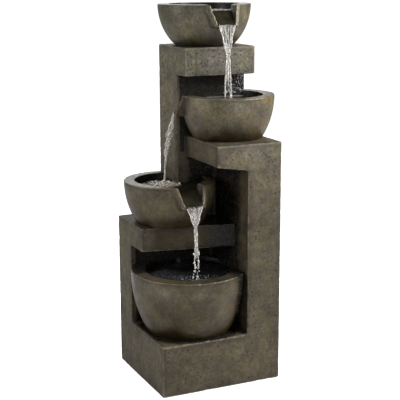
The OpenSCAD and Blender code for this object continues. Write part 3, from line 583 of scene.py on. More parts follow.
def build_blocks():
    skin = remeshed(all_blocks(), BLOCK_VOXEL)
    finish_stone(skin, BLOCK_VOXEL, 3, block_wet_and_shade, block_shade_and_damp, uneven=0.35)
    pieces = {}
    inside = hollows()
    for node, boxes in regions().items():
        piece = link(node + "_stone", skin.data.copy())
        boolean(piece, union(*[block(*b) for b in boxes]), "INTERSECT")
        subtract(piece, *inside[node])
        pieces[node] = piece
    subtract(pieces["right_column"], basin_space(0.4))
    subtract(pieces["low_walls"], basin_space(0.4))
    panel = pieces["back_panel"]
    low = DOOR_LOW - Vector((DOOR_GAP, 0, DOOR_GAP))
    high = DOOR_HIGH + Vector((DOOR_GAP, 0, DOOR_GAP))
    subtract(panel, block((low.x, BACK - DOOR_REBATE, low.z), (high.x, BACK + 5, high.z)),
             block((low.x + DOOR_REBATE, BACK - WALL - 1, low.z + DOOR_REBATE),
                   (high.x - DOOR_REBATE, BACK, high.z - DOOR_REBATE)))
    drill_through(panel, DRAIN_R, "drain_tube", BACK - WALL - 3, BACK + 4)
    drill_through(panel, GROMMET_R, "cable_grommet", BACK - WALL - 3, BACK + 4)
    # the door's outer face is the same stone surface, with a flat pad behind
    door = link("access_door_stone", skin.data.copy())
    boolean(door, block((DOOR_LOW.x, BACK - DOOR_T, DOOR_LOW.z), (DOOR_HIGH.x, BACK + 5, DOOR_HIGH.z)),
            "INTERSECT")
    door = union(door, block((DOOR_LOW.x + DOOR_PAD_IN, DOOR_LOW.y, DOOR_LOW.z + DOOR_PAD_IN),
                             (DOOR_HIGH.x - DOOR_PAD_IN, BACK - 4, DOOR_HIGH.z - DOOR_PAD_IN)))
    drill_through(door, LATCH_SPINDLE_R, "latch_knob", BACK - PAST, BACK + 5)
    drop(skin)
    for node, piece in pieces.items():
        mark_wet_and_shade(piece.data, block_wet_and_shade, block_shade_and_damp)
        dress(piece, node, "root", "cast_stone")
    dress(door, "access_door", "door", "cast_stone")


def smooth_by_angle(obj):
    """Smooth shading that keeps cut edges sharp."""
    mesh = obj.data
    mesh.polygons.foreach_set("use_smooth", [True] * len(mesh.polygons))
    mesh.set_sharp_from_angle(angle=math.radians(SHARP_DEGREES))
    mesh.update()


# ---------------------------------------------------------------- bowls

SPOUT_END_Y = -(BOWL_R + 2 * LIP_OUT)


def half_at(rim_half, lip_half, drop_here):
    """A spout's half-width at a depth under the rim, from its half-widths at the rim and at the lip."""
    return rim_half + (lip_half - rim_half) * drop_here / LIP_DROP


def front_wedge(rim_half, lip_half, rim_z, bottom):
    """A wedge that narrows downwards, from the bowl's axis towards -Y."""
    top, low = half_at(rim_half, lip_half, -OVER), half_at(rim_half, lip_half, bottom)
    return prism([(-top, rim_z + OVER), (top, rim_z + OVER), (low, rim_z - bottom),
                  (-low, rim_z - bottom)], SPOUT_END_Y, 0, "y")


def spout_block(rim_z):
    """The outside of a spout, which the channel is cut from."""
    skirt = LIP_DROP + LIP_T
    cone = turned([(0, rim_z), (BOWL_R, rim_z), (BOWL_R + LIP_OUT, rim_z - LIP_DROP),
                   (BOWL_R + LIP_OUT, rim_z - skirt), (BOWL_R - RIM_W, rim_z - skirt - 4),
                   (0, rim_z - skirt - 4)])
    wedge = front_wedge(CHANNEL_W / 2 + CHEEK_RIM_T, LIP_W / 2 + CHEEK_LIP_T, rim_z, skirt + 6)
    return boolean(cone, wedge, "INTERSECT")


def channel_side(rim_z, lift=0):
    """Side view of the spout's floor as (y, z) points, raised by lift."""
    return [(-BOWL_R / 2, rim_z - SILL_DROP + lift), (-(BOWL_R - RIM_W), rim_z - SILL_DROP + lift),
            (-(BOWL_R + LIP_OUT), rim_z - LIP_DROP + lift)]


def side_prism(outline, half):
    """An outline in (y, z) run along x from -half to half."""
    shape = prism(outline, -half, half, "z")
    turn = Matrix(((0, 0, 1, 0), (1, 0, 0, 0), (0, 1, 0, 0), (0, 0, 0, 1)))
    shape.data.transform(turn)
    return shape


def spout_channel(rim_z):
    """The open space of a spout."""
    floor = channel_side(rim_z)
    side = side_prism([(floor[0][0], rim_z + OVER)] + floor
                      + [(SPOUT_END_Y, rim_z - LIP_DROP), (SPOUT_END_Y, rim_z + OVER)], CHANNEL_W)
    return boolean(front_wedge(CHANNEL_W / 2, LIP_W / 2, rim_z, LIP_DROP + OVER), side, "INTERSECT")


def hollow_shape(rim, height):
    """The inside of a bowl, from its floor to just over its rim."""
    points = outline_points(rim, rim * FLOOR_SHARE, height - BOWL_FLOOR_T)
    return turned([(0, height + OVER), (rim, height + OVER)]
                  + [(r, z + BOWL_FLOOR_T) for r, z in points] + [(0, BOWL_FLOOR_T)])


def outside_shape(rim, foot, height):
    """The outside of a bowl, with the straight ring that it stands on."""
    points = outline_points(rim, foot, height)
    ring = foot + FOOT_RING_OUT
    belly_points = [(r, z) for r, z in points if z > FOOT_RING_H and r > ring]
    return turned([(0, height)] + belly_points + [(ring, FOOT_RING_H), (ring, 0), (0, 0)])


def place_bowl(obj, bowl):
    turn = Matrix.Rotation(math.radians(bowl["turn"]), 4, "Z")
    obj.data.transform(Matrix.Translation(mm(*bowl["at"])) @ turn)


def tower_spaces(gap=0.3):
    """The space of the tower's two stretches, with a gap round it."""
    low_x, low_y, behind = TOWER_LOW.x - gap, TOWER_Y - gap, BACK + 4 * PAST
    return [block((low_x, low_y, SHELF_TOP - PAST), (COLUMN_X + PAST, behind, COLUMN_HIGH.z)),
            block((low_x, low_y, COLUMN_HIGH.z - PAST), (TOWER_HIGH.x + gap, behind, HEAD_HIGH.z))]


def back_wall_space(name):
    """The part of a bowl's hollow that its own low wall fills, beside the tower."""
    low_x = TOWER_LOW.x - BACK_WALL_T if name == "lower_bowl" else -FAR
    return block((low_x, TOWER_Y - BACK_WALL_T, 0), (FAR, FAR, BOWLS[name]["rim"] - BACK_WALL_DROP))


def build_bowl(name, seed):
    bowl = BOWLS[name]
    height = bowl["height"]
    shell = union(outside_shape(BOWL_R, bowl["foot"], height), spout_block(height))
    hollow = hollow_shape(BOWL_R - RIM_W, height)
    channel = spout_channel(height)
    for part in (shell, hollow, channel):
        place_bowl(part, bowl)
    if name != "top_bowl":
        subtract(hollow, back_wall_space(name))
    subtract(shell, hollow, channel)
    if name != "top_bowl":
        subtract(shell, *tower_spaces())
    shell.name = name + "_stone"
    remeshed(shell, BOWL_VOXEL)
    finish_stone(shell, BOWL_VOXEL, seed, bowl_wet_and_shade, bowl_painted_shade, uneven=0.3)
    hole = BULKHEAD_HOLE_R if name == "top_bowl" else BOLT_HOLE_R
    drill_up(shell, hole, bowl["at"], BOWL_FLOOR_T + 5)
    dress(shell, name, "root", "bowl_stone")


def basin_opening(radius):
    """A round space through the flange that closes the basin's top."""
    below = BASIN_H - FLANGE_T - 1
    return turned([(0, BASIN_H + OVER), (radius, BASIN_H + OVER), (radius, below), (0, below)])


def build_basin():
    inner_r = BASIN_R - BASIN_WALL
    shell = outside_shape(BASIN_R, BASIN_FOOT_R, BASIN_H)
    points = outline_points(inner_r, BASIN_FOOT_R - BASIN_WALL, BASIN_H - BOWL_FLOOR_T - FLANGE_T)
    belly = turned([(0, BASIN_H - FLANGE_T)] + [(r, z + BOWL_FLOOR_T) for r, z in points]
                   + [(0, BOWL_FLOOR_T)])
    subtract(shell, belly, basin_opening(BASIN_R - BASIN_RIM_W))
    # the flange is open behind the low wall, so that a hand reaches the pump through the door
    notch = basin_opening(inner_r)
    for shape in (shell, notch):
        shape.data.transform(Matrix.Translation(mm(*BASIN_AT)))
    boolean(notch, block((DOOR_LOW.x, LOW_WALL_Y + WALL, 0), (DOOR_HIGH.x, BACK, FAR)), "INTERSECT")
    subtract(shell, notch)
    shell.name = "basin_stone"
    remeshed(shell, BASIN_VOXEL)
    finish_stone(shell, BASIN_VOXEL, 21, bowl_wet_and_shade, bowl_painted_shade, uneven=0.4)
    drill_up(shell, BOLT_HOLE_R, BASIN_AT, BASIN_HOLE_H)
    drill_up(shell, NUT_POCKET_R, BASIN_AT, NUT_POCKET_H, sides=6)
    drill_through(shell, DRAIN_R - 0.1, "drain_tube", LOW_WALL_Y - 4, BACK)
    dress(shell, "basin", "root", "bowl_stone")


def finish_piece(piece, finish, body="root"):
    """Gives a piece its material and the body that it rides on."""
    piece.data.materials.clear()
    piece.data.materials.append(material(finish))
    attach(piece, body)


def dress(piece, node, body, slot):
    """Finishes a piece that stands for a CAD node."""
    smooth_by_angle(piece)
    finish_piece(piece, slot, body)
    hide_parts(node)


# ---------------------------------------------------------------- materials

class Shader:
    """Short calls to build one node material."""

    INPUTS = {"color": "Base Color", "rough": "Roughness", "normal": "Normal", "metal": "Metallic",
              "coat": "Coat Weight", "specular": "Specular IOR Level", "alpha": "Alpha", "ior": "IOR",
              "glow": "Emission Strength"}

    def __init__(self, name):
        self.material = bpy.data.materials.new(name)
        self.material.use_nodes = True
        self.tree = self.material.node_tree
        self.main = self.tree.nodes["Principled BSDF"]
        self.place = self.node("TexCoord").outputs["Object"]

    def node(self, kind, inputs=(), **settings):
        """A node with its settings and its inputs, which are numbers, colours or other nodes' outputs."""
        made = self.tree.nodes.new("ShaderNode" + kind)
        for key, value in settings.items():
            setattr(made, key, value)
        for key, value in dict(inputs).items():
            self.feed(made.inputs[key], value)
        return made

    def feed(self, socket, value):
        if isinstance(value, bpy.types.NodeSocket):
            self.tree.links.new(value, socket)
        elif socket.type == "RGBA":
            socket.default_value = (*value, 1)
        else:
            socket.default_value = value

    def stretch(self, x, y, z):
        return self.node("Mapping", {"Vector": self.place, "Scale": (x, y, z)}).outputs["Vector"]

    def noise(self, scale, detail=2.0, rough=0.5, vector=None, distortion=0.0):
        return self.node("TexNoise", {"Vector": vector or self.place, "Scale": scale, "Detail": detail,
                                      "Roughness": rough, "Distortion": distortion}).outputs["Fac"]

    def cells(self, scale):
        return self.node("TexVoronoi", {"Vector": self.place, "Scale": scale}).outputs["Distance"]

    def attribute(self, name):
        return self.node("Attribute", attribute_name=name).outputs["Fac"]

    def span(self, value, low, high, to_low=0.0, to_high=1.0):
        """A value from low to high, spread over another span and held inside it."""
        return self.node("MapRange", {"Value": value, "From Min": low, "From Max": high,
                                      "To Min": to_low, "To Max": to_high}, clamp=True).outputs["Result"]

    def patches(self, scale, detail, rough, low, high, to_low=0.0, to_high=1.0, distortion=0.0):
        """Noise of a scale, with its values from low to high spread over another span."""
        return self.span(self.noise(scale, detail, rough, distortion=distortion), low, high, to_low, to_high)

    def math(self, operation, a, b):
        return self.node("Math", {0: a, 1: b}, operation=operation).outputs[0]

    def times(self, a, b):
        return self.math("MULTIPLY", a, b)

    def plus(self, a, b):
        return self.math("ADD", a, b)

    def mix(self, share, a, b, blend="MIX"):
        return self.node("Mix", {"Factor": share, 6: a, 7: b}, data_type="RGBA", blend_type=blend).outputs[2]

    def tint(self, color, factor):
        """A colour times a number."""
        return self.node("VectorMath", {0: color, "Scale": factor}, operation="SCALE").outputs[0]

    def bump(self, height, strength, distance, below=None):
        made = self.node("Bump", {"Strength": strength, "Distance": distance, "Height": height})
        if below is not None:
            self.feed(made.inputs["Normal"], below)
        return made.outputs["Normal"]

    def set(self, **values):
        for key, value in values.items():
            self.feed(self.main.inputs[self.INPUTS[key]], value)
        return self.material


@functools.cache
def material(name):
    return MAKERS[name](Shader(name))


def stone(s, lift, patch, freckle, ochre, porous, speckle, blotches, clouds, metal, rough):
    """Stained cast stone, with painted shade, shadow, warm light and sheen. patch and freckle are the scales
    of its clouds and of its ochre stains; ochre to clouds are shares."""
    olive, taupe, grey = (0.094, 0.081, 0.047), (0.072, 0.061, 0.043), (0.090, 0.091, 0.080)
    gold, plum, dark = (0.140, 0.090, 0.026), (0.066, 0.053, 0.048), (0.012, 0.010, 0.007)
    high, shade_and_damp, wet_and_shade_here = s.attribute("high"), s.attribute("shade_and_damp"), s.attribute("wet_and_shade")
    color = s.mix(s.patches(patch, 4, 0.62, 0.40, 0.60, distortion=0.7), taupe, olive)
    color = s.mix(s.patches(patch * 0.8, 3, 0.6, 0.52, 0.66, 0, 0.45), color, plum)
    color = s.mix(s.patches(patch * 1.1, 4, 0.6, 0.54, 0.68, 0, 0.4, distortion=0.5), color, grey)
    # ochre stains, fewer on the pale head; stronger on faces turned right and weaker on faces turned left,
    # as painted warm light from the right
    stains = s.times(s.patches(freckle, 5, 0.65, 0.48, 0.66, distortion=0.5),
                     s.patches(110, 3, 0.65, 0.38, 0.62, 0.2, 1.0))
    stains = s.times(stains, s.span(s.attribute("painted_right_light"), 0.2, 0.95, 0.35, 1.6))
    stains = s.times(stains, s.span(s.times(high, porous), 0.0, 1.0, 1.0, 0.25))
    color = s.mix(s.times(stains, ochre), color, gold)
    # mottling, fine then coarse, calmer where the damp and the painted shade are, and light speckles
    swing = 0.5 * blotches
    mottle = s.patches(150, 4, 0.7, 0.34, 0.66, 1 - swing, 1 + swing)
    mottle = s.times(mottle, s.patches(40, 4, 0.65, 0.34, 0.66, 1 - 0.7 * swing, 1 + 0.7 * swing))
    calm = s.span(shade_and_damp, 0.0, 0.5, 1.0, 0.6)
    mottle = s.plus(s.times(s.plus(mottle, -1.0), calm), 1.0)
    mottle = s.times(mottle, s.patches(9, 3, 0.55, 0.38, 0.62, 1 - clouds, 1 + clouds))
    color = s.tint(color, s.times(mottle, lift))
    color = s.mix(high, color, (0.99, 1.05, 1.10), "MULTIPLY")
    color = s.mix(s.patches(420, 2, 0.6, 0.60, 0.72, 0.0, speckle), color, (0.22, 0.17, 0.09))
    # pits, in groups and mostly on the head
    where = s.plus(s.noise(38, 2, 0.5), s.span(high, 0.0, 1.0, 0.0, 0.12))
    pit = s.times(s.span(s.cells(84), 0.17, 0.26, 1.0, 0.0), s.span(where, 0.44, 0.56, 0.0, porous))
    color = s.mix(pit, color, dark)
    # a grey-brown halo along the borders, and the creases darkened
    halo = s.times(s.attribute("border"), s.patches(26, 3, 0.6, 0.3, 0.6, 0.15, 0.55))
    color = s.mix(halo, color, (0.036, 0.032, 0.027))
    color = s.mix(s.times(s.attribute("crease"), 0.8), color, dark)
    # damp stone and painted shade are darker, with thin worn edges; wet stone and painted shadow almost
    # black, with pale patches of painted sheen
    dull = s.plus(shade_and_damp, s.patches(22, 4, 0.65, 0.3, 0.7, -0.22, 0.22))
    dull = s.times(s.span(dull, 0.0, 1.0), s.span(shade_and_damp, 0.0, 0.15))
    color = s.mix(dull, color, (0.26, 0.208, 0.105), "MULTIPLY")
    worn = s.times(s.span(s.attribute("edge"), 0.35, 0.95), s.patches(60, 3, 0.65, 0.38, 0.60, 0.15, 0.85))
    color = s.mix(worn, color, (0.185, 0.148, 0.092))
    wet_and_shade = s.span(s.plus(wet_and_shade_here, s.patches(40, 3, 0.6, 0.3, 0.7, -0.2, 0.2)), 0.3, 0.8)
    wet_and_shade = s.times(wet_and_shade, s.span(wet_and_shade_here, 0.0, 0.25))
    film = s.mix(s.patches(70, 5, 0.75, 0.48, 0.70), (0.006, 0.005, 0.004), (0.020, 0.019, 0.018))
    # pale bluish patches on the wet stone: painted sheen
    painted_sheen = s.times(s.patches(9, 2, 0.5, 0.50, 0.62), s.patches(130, 3, 0.7, 0.54, 0.66))
    film = s.mix(painted_sheen, film, (0.030, 0.031, 0.034))
    color = s.mix(s.times(wet_and_shade, 0.93), color, film)
    dry_rough = s.patches(90, 3, 0.6, 0.3, 0.7, rough - 0.08, rough + 0.10)
    relief = s.bump(s.noise(380, 4, 0.7), 0.4, 0.0014)
    relief = s.bump(s.span(pit, 0.0, 1.0, 1.0, 0.0), 0.6, 0.0018, relief)
    relief = s.bump(s.noise(60, 4, 0.6), 0.3, 0.004, relief)
    return s.set(color=color, rough=s.plus(dry_rough, s.times(wet_and_shade, 0.22 - rough)), normal=relief,
                 metal=s.times(s.span(wet_and_shade, 0.0, 0.5, 1.0, 0.0), metal),
                 specular=s.span(wet_and_shade, 0.0, 1.0, 0.28, 0.16))


def plain(s, color, rough, grain=0.1, metal=0.0, scale=300, coat=0.0):
    """A plain material with faint colour change, grain and fine relief."""
    base = s.mix(s.patches(25, 3, 0.6, 0.35, 0.65), [c * (1 - grain) for c in color], color)
    fine = s.noise(scale, 3, 0.6)
    normal = s.bump(fine, 0.15, 0.0006)
    roughness = s.span(fine, 0.3, 0.7, max(rough - 0.08, 0.05), rough + 0.08)
    return s.set(color=base, rough=roughness, normal=normal, metal=metal, coat=coat)


def brushed(s, color, rough):
    """Metal with brush marks along Z."""
    streaks = s.noise(60, 4, 0.7, vector=s.stretch(18, 18, 1))
    base = s.mix(s.span(streaks, 0.35, 0.65), [c * 0.8 for c in color], color)
    return s.set(color=base, rough=s.span(streaks, 0.3, 0.7, rough - 0.08, rough + 0.1),
                 metal=1.0, normal=s.bump(streaks, 0.1, 0.0004))


def foam(s):
    holes = s.cells(700)
    color = s.mix(s.span(holes, 0.15, 0.45), (0.008, 0.009, 0.011), (0.05, 0.055, 0.065))
    return s.set(color=color, rough=0.9, normal=s.bump(holes, 0.8, 0.0015))


def pool(s):
    """Still dark water over a dark bowl."""
    depth = s.mix(s.patches(30, 3, 0.6, 0.35, 0.7), (0.008, 0.007, 0.004), (0.026, 0.022, 0.013))
    ripples = s.bump(s.noise(75, 3, 0.55, distortion=0.4), 0.35, 0.004)
    return s.set(color=depth, rough=0.12, normal=ripples, specular=0.07, ior=1.33)


def deep_pool(s):
    """The basin's water: almost black, with the ripples that the stream makes and pale flecks of painted
    glints.
    """
    depth = s.mix(s.patches(30, 3, 0.6, 0.35, 0.7), (0.006, 0.006, 0.006), (0.018, 0.017, 0.017))
    painted_glints = s.times(s.patches(14, 2, 0.5, 0.42, 0.58), s.patches(170, 3, 0.7, 0.50, 0.62))
    # pale flecks: painted glints of light on the water
    depth = s.mix(painted_glints, depth, (0.080, 0.084, 0.094))
    ripples = s.bump(s.noise(60, 4, 0.6, distortion=0.8), 0.6, 0.006)
    return s.set(color=depth, rough=0.14, normal=ripples, specular=0.7, ior=1.33)


def falling(s):
    """The thin sheet of falling water: clear, with paler ridges."""
    ridges = s.noise(210, 4, 0.65, vector=s.stretch(1, 1, 0.22), distortion=0.8)
    color = s.mix(s.span(ridges, 0.42, 0.62), (0.12, 0.12, 0.12), (0.60, 0.59, 0.58))
    clear = s.span(ridges, 0.44, 0.66, 0.04, 0.46)
    return s.set(color=color, rough=0.12, alpha=clear, specular=0.8, ior=1.33,
                 normal=s.bump(ridges, 0.5, 0.002))


def droplets(s, scale, low, high, dark, pale, rough, alpha=1.0):
    """Drops or threads of water, mottled from dark to pale where noise is from low to high."""
    color = s.mix(s.patches(scale, 3, 0.6, low, high), dark, pale)
    return s.set(color=color, rough=rough, specular=0.6, alpha=alpha)


MAKERS = {
    "cast_stone": lambda s: stone(
        s, lift=1.04, patch=13, freckle=75, ochre=0.42, porous=0.9, speckle=0.5, blotches=0.9,
        clouds=0.06, metal=0.0, rough=0.62),
    "bowl_stone": lambda s: stone(
        s, lift=1.12, patch=12, freckle=24, ochre=0.95, porous=0.3, speckle=0.30, blotches=0.7,
        clouds=0.28, metal=0.35, rough=0.38),
    "cement_board": lambda s: plain(s, (0.34, 0.33, 0.30), 0.85, 0.2, scale=180),
    "rubber": lambda s: plain(s, (0.018, 0.018, 0.018), 0.75),
    "steel": lambda s: brushed(s, (0.62, 0.62, 0.63), 0.32),
    "brass": lambda s: brushed(s, (0.70, 0.50, 0.22), 0.35),
    "ceramic": lambda s: plain(s, (0.82, 0.80, 0.76), 0.3, 0.04),
    "black_plastic": lambda s: plain(s, (0.022, 0.022, 0.024), 0.45, 0.15, scale=500),
    "white_plastic": lambda s: plain(s, (0.75, 0.75, 0.70), 0.4, 0.05),
    "magnet": lambda s: plain(s, (0.10, 0.10, 0.105), 0.55),
    "foam": foam,
    "blue_plastic": lambda s: plain(s, (0.03, 0.12, 0.28), 0.25, 0.1, coat=0.3),
    # the hose is nearly black: painted shade of the recess that it lies in
    "hose_vinyl": lambda s: plain(s, (0.022, 0.027, 0.022), 0.55, 0.1),
    "pool": pool,
    "deep_pool": deep_pool,
    "falling": falling,
    "drops": lambda s: droplets(s, 260, 0.38, 0.62, (0.28, 0.26, 0.23), (1.0, 0.96, 0.91), 0.15, 0.8),
    "froth": lambda s: droplets(s, 160, 0.4, 0.62, (0.26, 0.19, 0.14), (1.0, 0.94, 0.87), 0.25),
    # spray: drops whose pale bluish tone paints glints of light
    "glinting_spray": lambda s: droplets(s, 190, 0.4, 0.66, (0.026, 0.027, 0.030), (0.30, 0.31, 0.34), 0.2),
}


def dress_cad_nodes():
    """Gives every CAD node the material of its slot in the record."""
    slots = {row["node"]: row["material_slot"] for row in frame["record"]["subparts"]}
    for name, obj in frame["nodes"].items():
        obj.data.materials.clear()
        obj.data.materials.append(material(slots[name]))


# ---------------------------------------------------------------- water

def build_pools():
    """The water in each bowl, with a sheet that runs down its spout to the lip."""
    for name, bowl in BOWLS.items():
        height = bowl["height"]
        level = height - WATER_DROP
        # a little wider than the bowl's inside, so that no gap shows
        water = hollow_shape(BOWL_R - RIM_W + 0.6, height)
        boolean(water, block((-FAR, -FAR, level - POOL_T), (FAR, FAR, level)), "INTERSECT")
        film = channel_side(height, FILM_OVER) + channel_side(height, -FILM_INTO)[::-1]
        sheet = side_prism(film, CHANNEL_W)
        boolean(sheet, front_wedge(CHANNEL_W / 2 + 0.5, LIP_W / 2 + 0.5, height, LIP_DROP + 6),
                "INTERSECT")
        water = union(water, sheet)
        place_bowl(water, bowl)
        if name != "top_bowl":
            subtract(water, *tower_spaces(-1))
        finish_pool(water, name + "_water", bowl["at"].z + level)
    level = BASIN_HIGH.z - BASIN_WATER_DROP
    water = round_bar(BASIN_R - BASIN_WALL - 1, (BASIN_AT.x, BASIN_AT.y, level - POOL_T),
                      (BASIN_AT.x, BASIN_AT.y, level), 128)
    finish_pool(water, "basin_water", level)


# The x and y where each stream falls on the water below it
TOP_LANDING, UPPER_LANDING, LOWER_LANDING = (52, -82), (-78, 43), (-56, -117)
LANDINGS = {"upper_bowl_water": TOP_LANDING, "lower_bowl_water": UPPER_LANDING,
            "basin_water": LOWER_LANDING}


def finish_pool(water, name, level):
    """Gives a pool its surface: rings round the place where a stream lands, and small waves."""
    water.name = name
    remeshed(water, WATER_VOXEL, 1)
    mesh = water.data
    points = coordinates(mesh)
    x, y, z = (points * 1000).T
    top = np.abs(z - level) < 1.6
    height = np.zeros(len(points))
    if name in LANDINGS:
        r = np.hypot(x - LANDINGS[name][0], y - LANDINGS[name][1])
        height += RING_H * np.cos(r * 2 * math.pi / RING_STEP) * np.exp(-r / RING_REACH)
    height += WAVE_H * rough_noise(points, 45, 5, 2)
    points[:, 2] += top * height / 1000
    move_vertices(mesh, points)
    smooth_by_angle(water)
    finish_piece(water, "deep_pool" if name == "basin_water" else "pool")


def thread(points, radii, sides=8):
    """A closed tube as (points, faces), from points along a path and a radius at each."""
    angles = [2 * math.pi * i / sides for i in range(sides)]
    rings = []
    for k, (p, r) in enumerate(zip(points, radii)):
        ahead = points[min(k + 1, len(points) - 1)] - points[max(k - 1, 0)]
        turn = Vector((0, 0, 1)).rotation_difference(ahead.normalized())
        rings.append([p + turn @ Vector((r * math.cos(a), r * math.sin(a), 0)) for a in angles])
    return skin_over(rings)


def bead(centre, radius, tall, rng):
    """A rough drop as (points, faces): an icosphere's points, pushed about a little."""
    bm = bmesh.new()
    bmesh.ops.create_icosphere(bm, subdivisions=2, radius=1)
    shift = Vector((rng.random() * 50, 0, 0))
    verts = []
    for v in bm.verts:
        k = 1 + 0.22 * noise.noise(v.co * 1.3 + shift)
        verts.append(Vector(centre) + Vector((v.co.x, v.co.y, v.co.z * tall)) * radius * k)
    faces = [tuple(v.index for v in f.verts) for f in bm.faces]
    bm.free()
    return verts, faces


def gather(name, parts, finish):
    """One object from many (points, faces) pairs."""
    points, faces = [], []
    for verts, polygons in parts:
        start = len(points)
        points += [tuple(v) for v in verts]
        faces += [tuple(i + start for i in f) for f in polygons]
    obj = from_faces(name, points, faces)
    obj.data.polygons.foreach_set("use_smooth", [True] * len(obj.data.polygons))
    finish_piece(obj, finish)


def along_table(table, share):
    """Smooth value between the rows of a table of (share, value...) rows."""
    for (s0, *a), (s1, *b) in zip(table, table[1:]):
        if share <= s1:
            t = (share - s0) / (s1 - s0)
            t = t * t * (3 - 2 * t)
            return [u + (v - u) * t for u, v in zip(a, b)]
    return list(table[-1][1:])


def build_stream(name, bowl_name, bottom, drift, shift, edges, bundles, depth, loose, seed):
    """Water that falls from a bowl's lip.

    drift is how far it travels outwards as it falls, shift its offset along the lip. edges gives the
    half-width of the thin sheet at shares of the fall, bundles the paths of groups of threads, each
    with its number, thickness, and rows of (share, middle, half-width). depth gives how far threads
    stand in front of or behind the sheet, and loose the drops: number, first share and reach.
    """
    rng = random.Random(seed)
    bowl = BOWLS[bowl_name]
    out = Matrix.Rotation(math.radians(bowl["turn"]), 3, "Z") @ Vector((0, -1, 0))
    side = Vector((-out.y, out.x, 0))
    lip = bowl["at"] + out * (BOWL_R + LIP_OUT - 1) + side * shift
    lip.z = bowl["rim"] - LIP_DROP + 2.0
    fall = lip.z - bottom

    def at(share, across, forward=0.0):
        travel = drift * (1 - (1 - share) ** 2) + forward
        return lip + out * travel + side * across - Vector((0, 0, fall * share))

    parts = []
    for count, thick, rows in bundles:
        first, last = rows[0][0], rows[-1][0]
        for i in range(count):
            u = -1 + 2 * (i + 0.5) / count
            seedling, swing = rng.random() * 40, rng.uniform(0.25, 0.75)
            lean = rng.uniform(-1, 1)
            steps = max(10, int((last - first) * 64))
            points, radii = [], []
            for k in range(steps + 1):
                share = first + (last - first) * k / steps
                middle, half = along_table(rows, share)
                reach = along_table(depth, share)[0]
                wave = noise.noise(Vector((seedling, share * 9, 0))) * swing
                place = u * math.cos(share * 3.2 * lean) + wave
                forward = reach * (0.6 * lean + noise.noise(Vector((seedling + 7, share * 8, 0))))
                points.append(at(share, middle + half * place, forward))
                ends = min(1.0, 0.3 + 10 * min(share - first, last - share))
                lumps = 1 + 0.75 * noise.noise(Vector((seedling + 3, share * 30, 0)))
                radii.append(max(0.22, thick * ends * lumps))
            parts.append(thread(points, radii, 6))
    gather(name + "_threads", parts, "drops")
    # the thin sheet between the threads: each ring runs along its front and back along its rear
    columns, rows, rings = 22, 56, []
    for k in range(rows + 1):
        share = edges[-1][0] * k / rows
        half = along_table(edges, share)[0]
        front, rear = [], []
        for j in range(columns + 1):
            u = -1 + 2 * j / columns
            wave = noise.noise(Vector((u * 3, share * 7, seed))) * 1.8 * min(1, share * 4)
            swell = 0.45 * (1 - u * u) ** 0.5 + 0.08
            front.append(at(share, u * half, wave + swell))
            rear.append(at(share, u * half, wave - swell))
        rings.append(front + rear[::-1])
    gather(name + "_sheet", [skin_over(rings)], "falling")
    # drops that break away
    count, first, reach = loose
    beads = []
    for _ in range(count):
        share = rng.uniform(first, 1.0)
        p = at(share, rng.uniform(-reach, reach), rng.uniform(-2, 3))
        beads.append(bead(p, rng.uniform(0.5, 2.1), rng.uniform(1.0, 2.4), rng))
    gather(name + "_drops", beads, "drops")


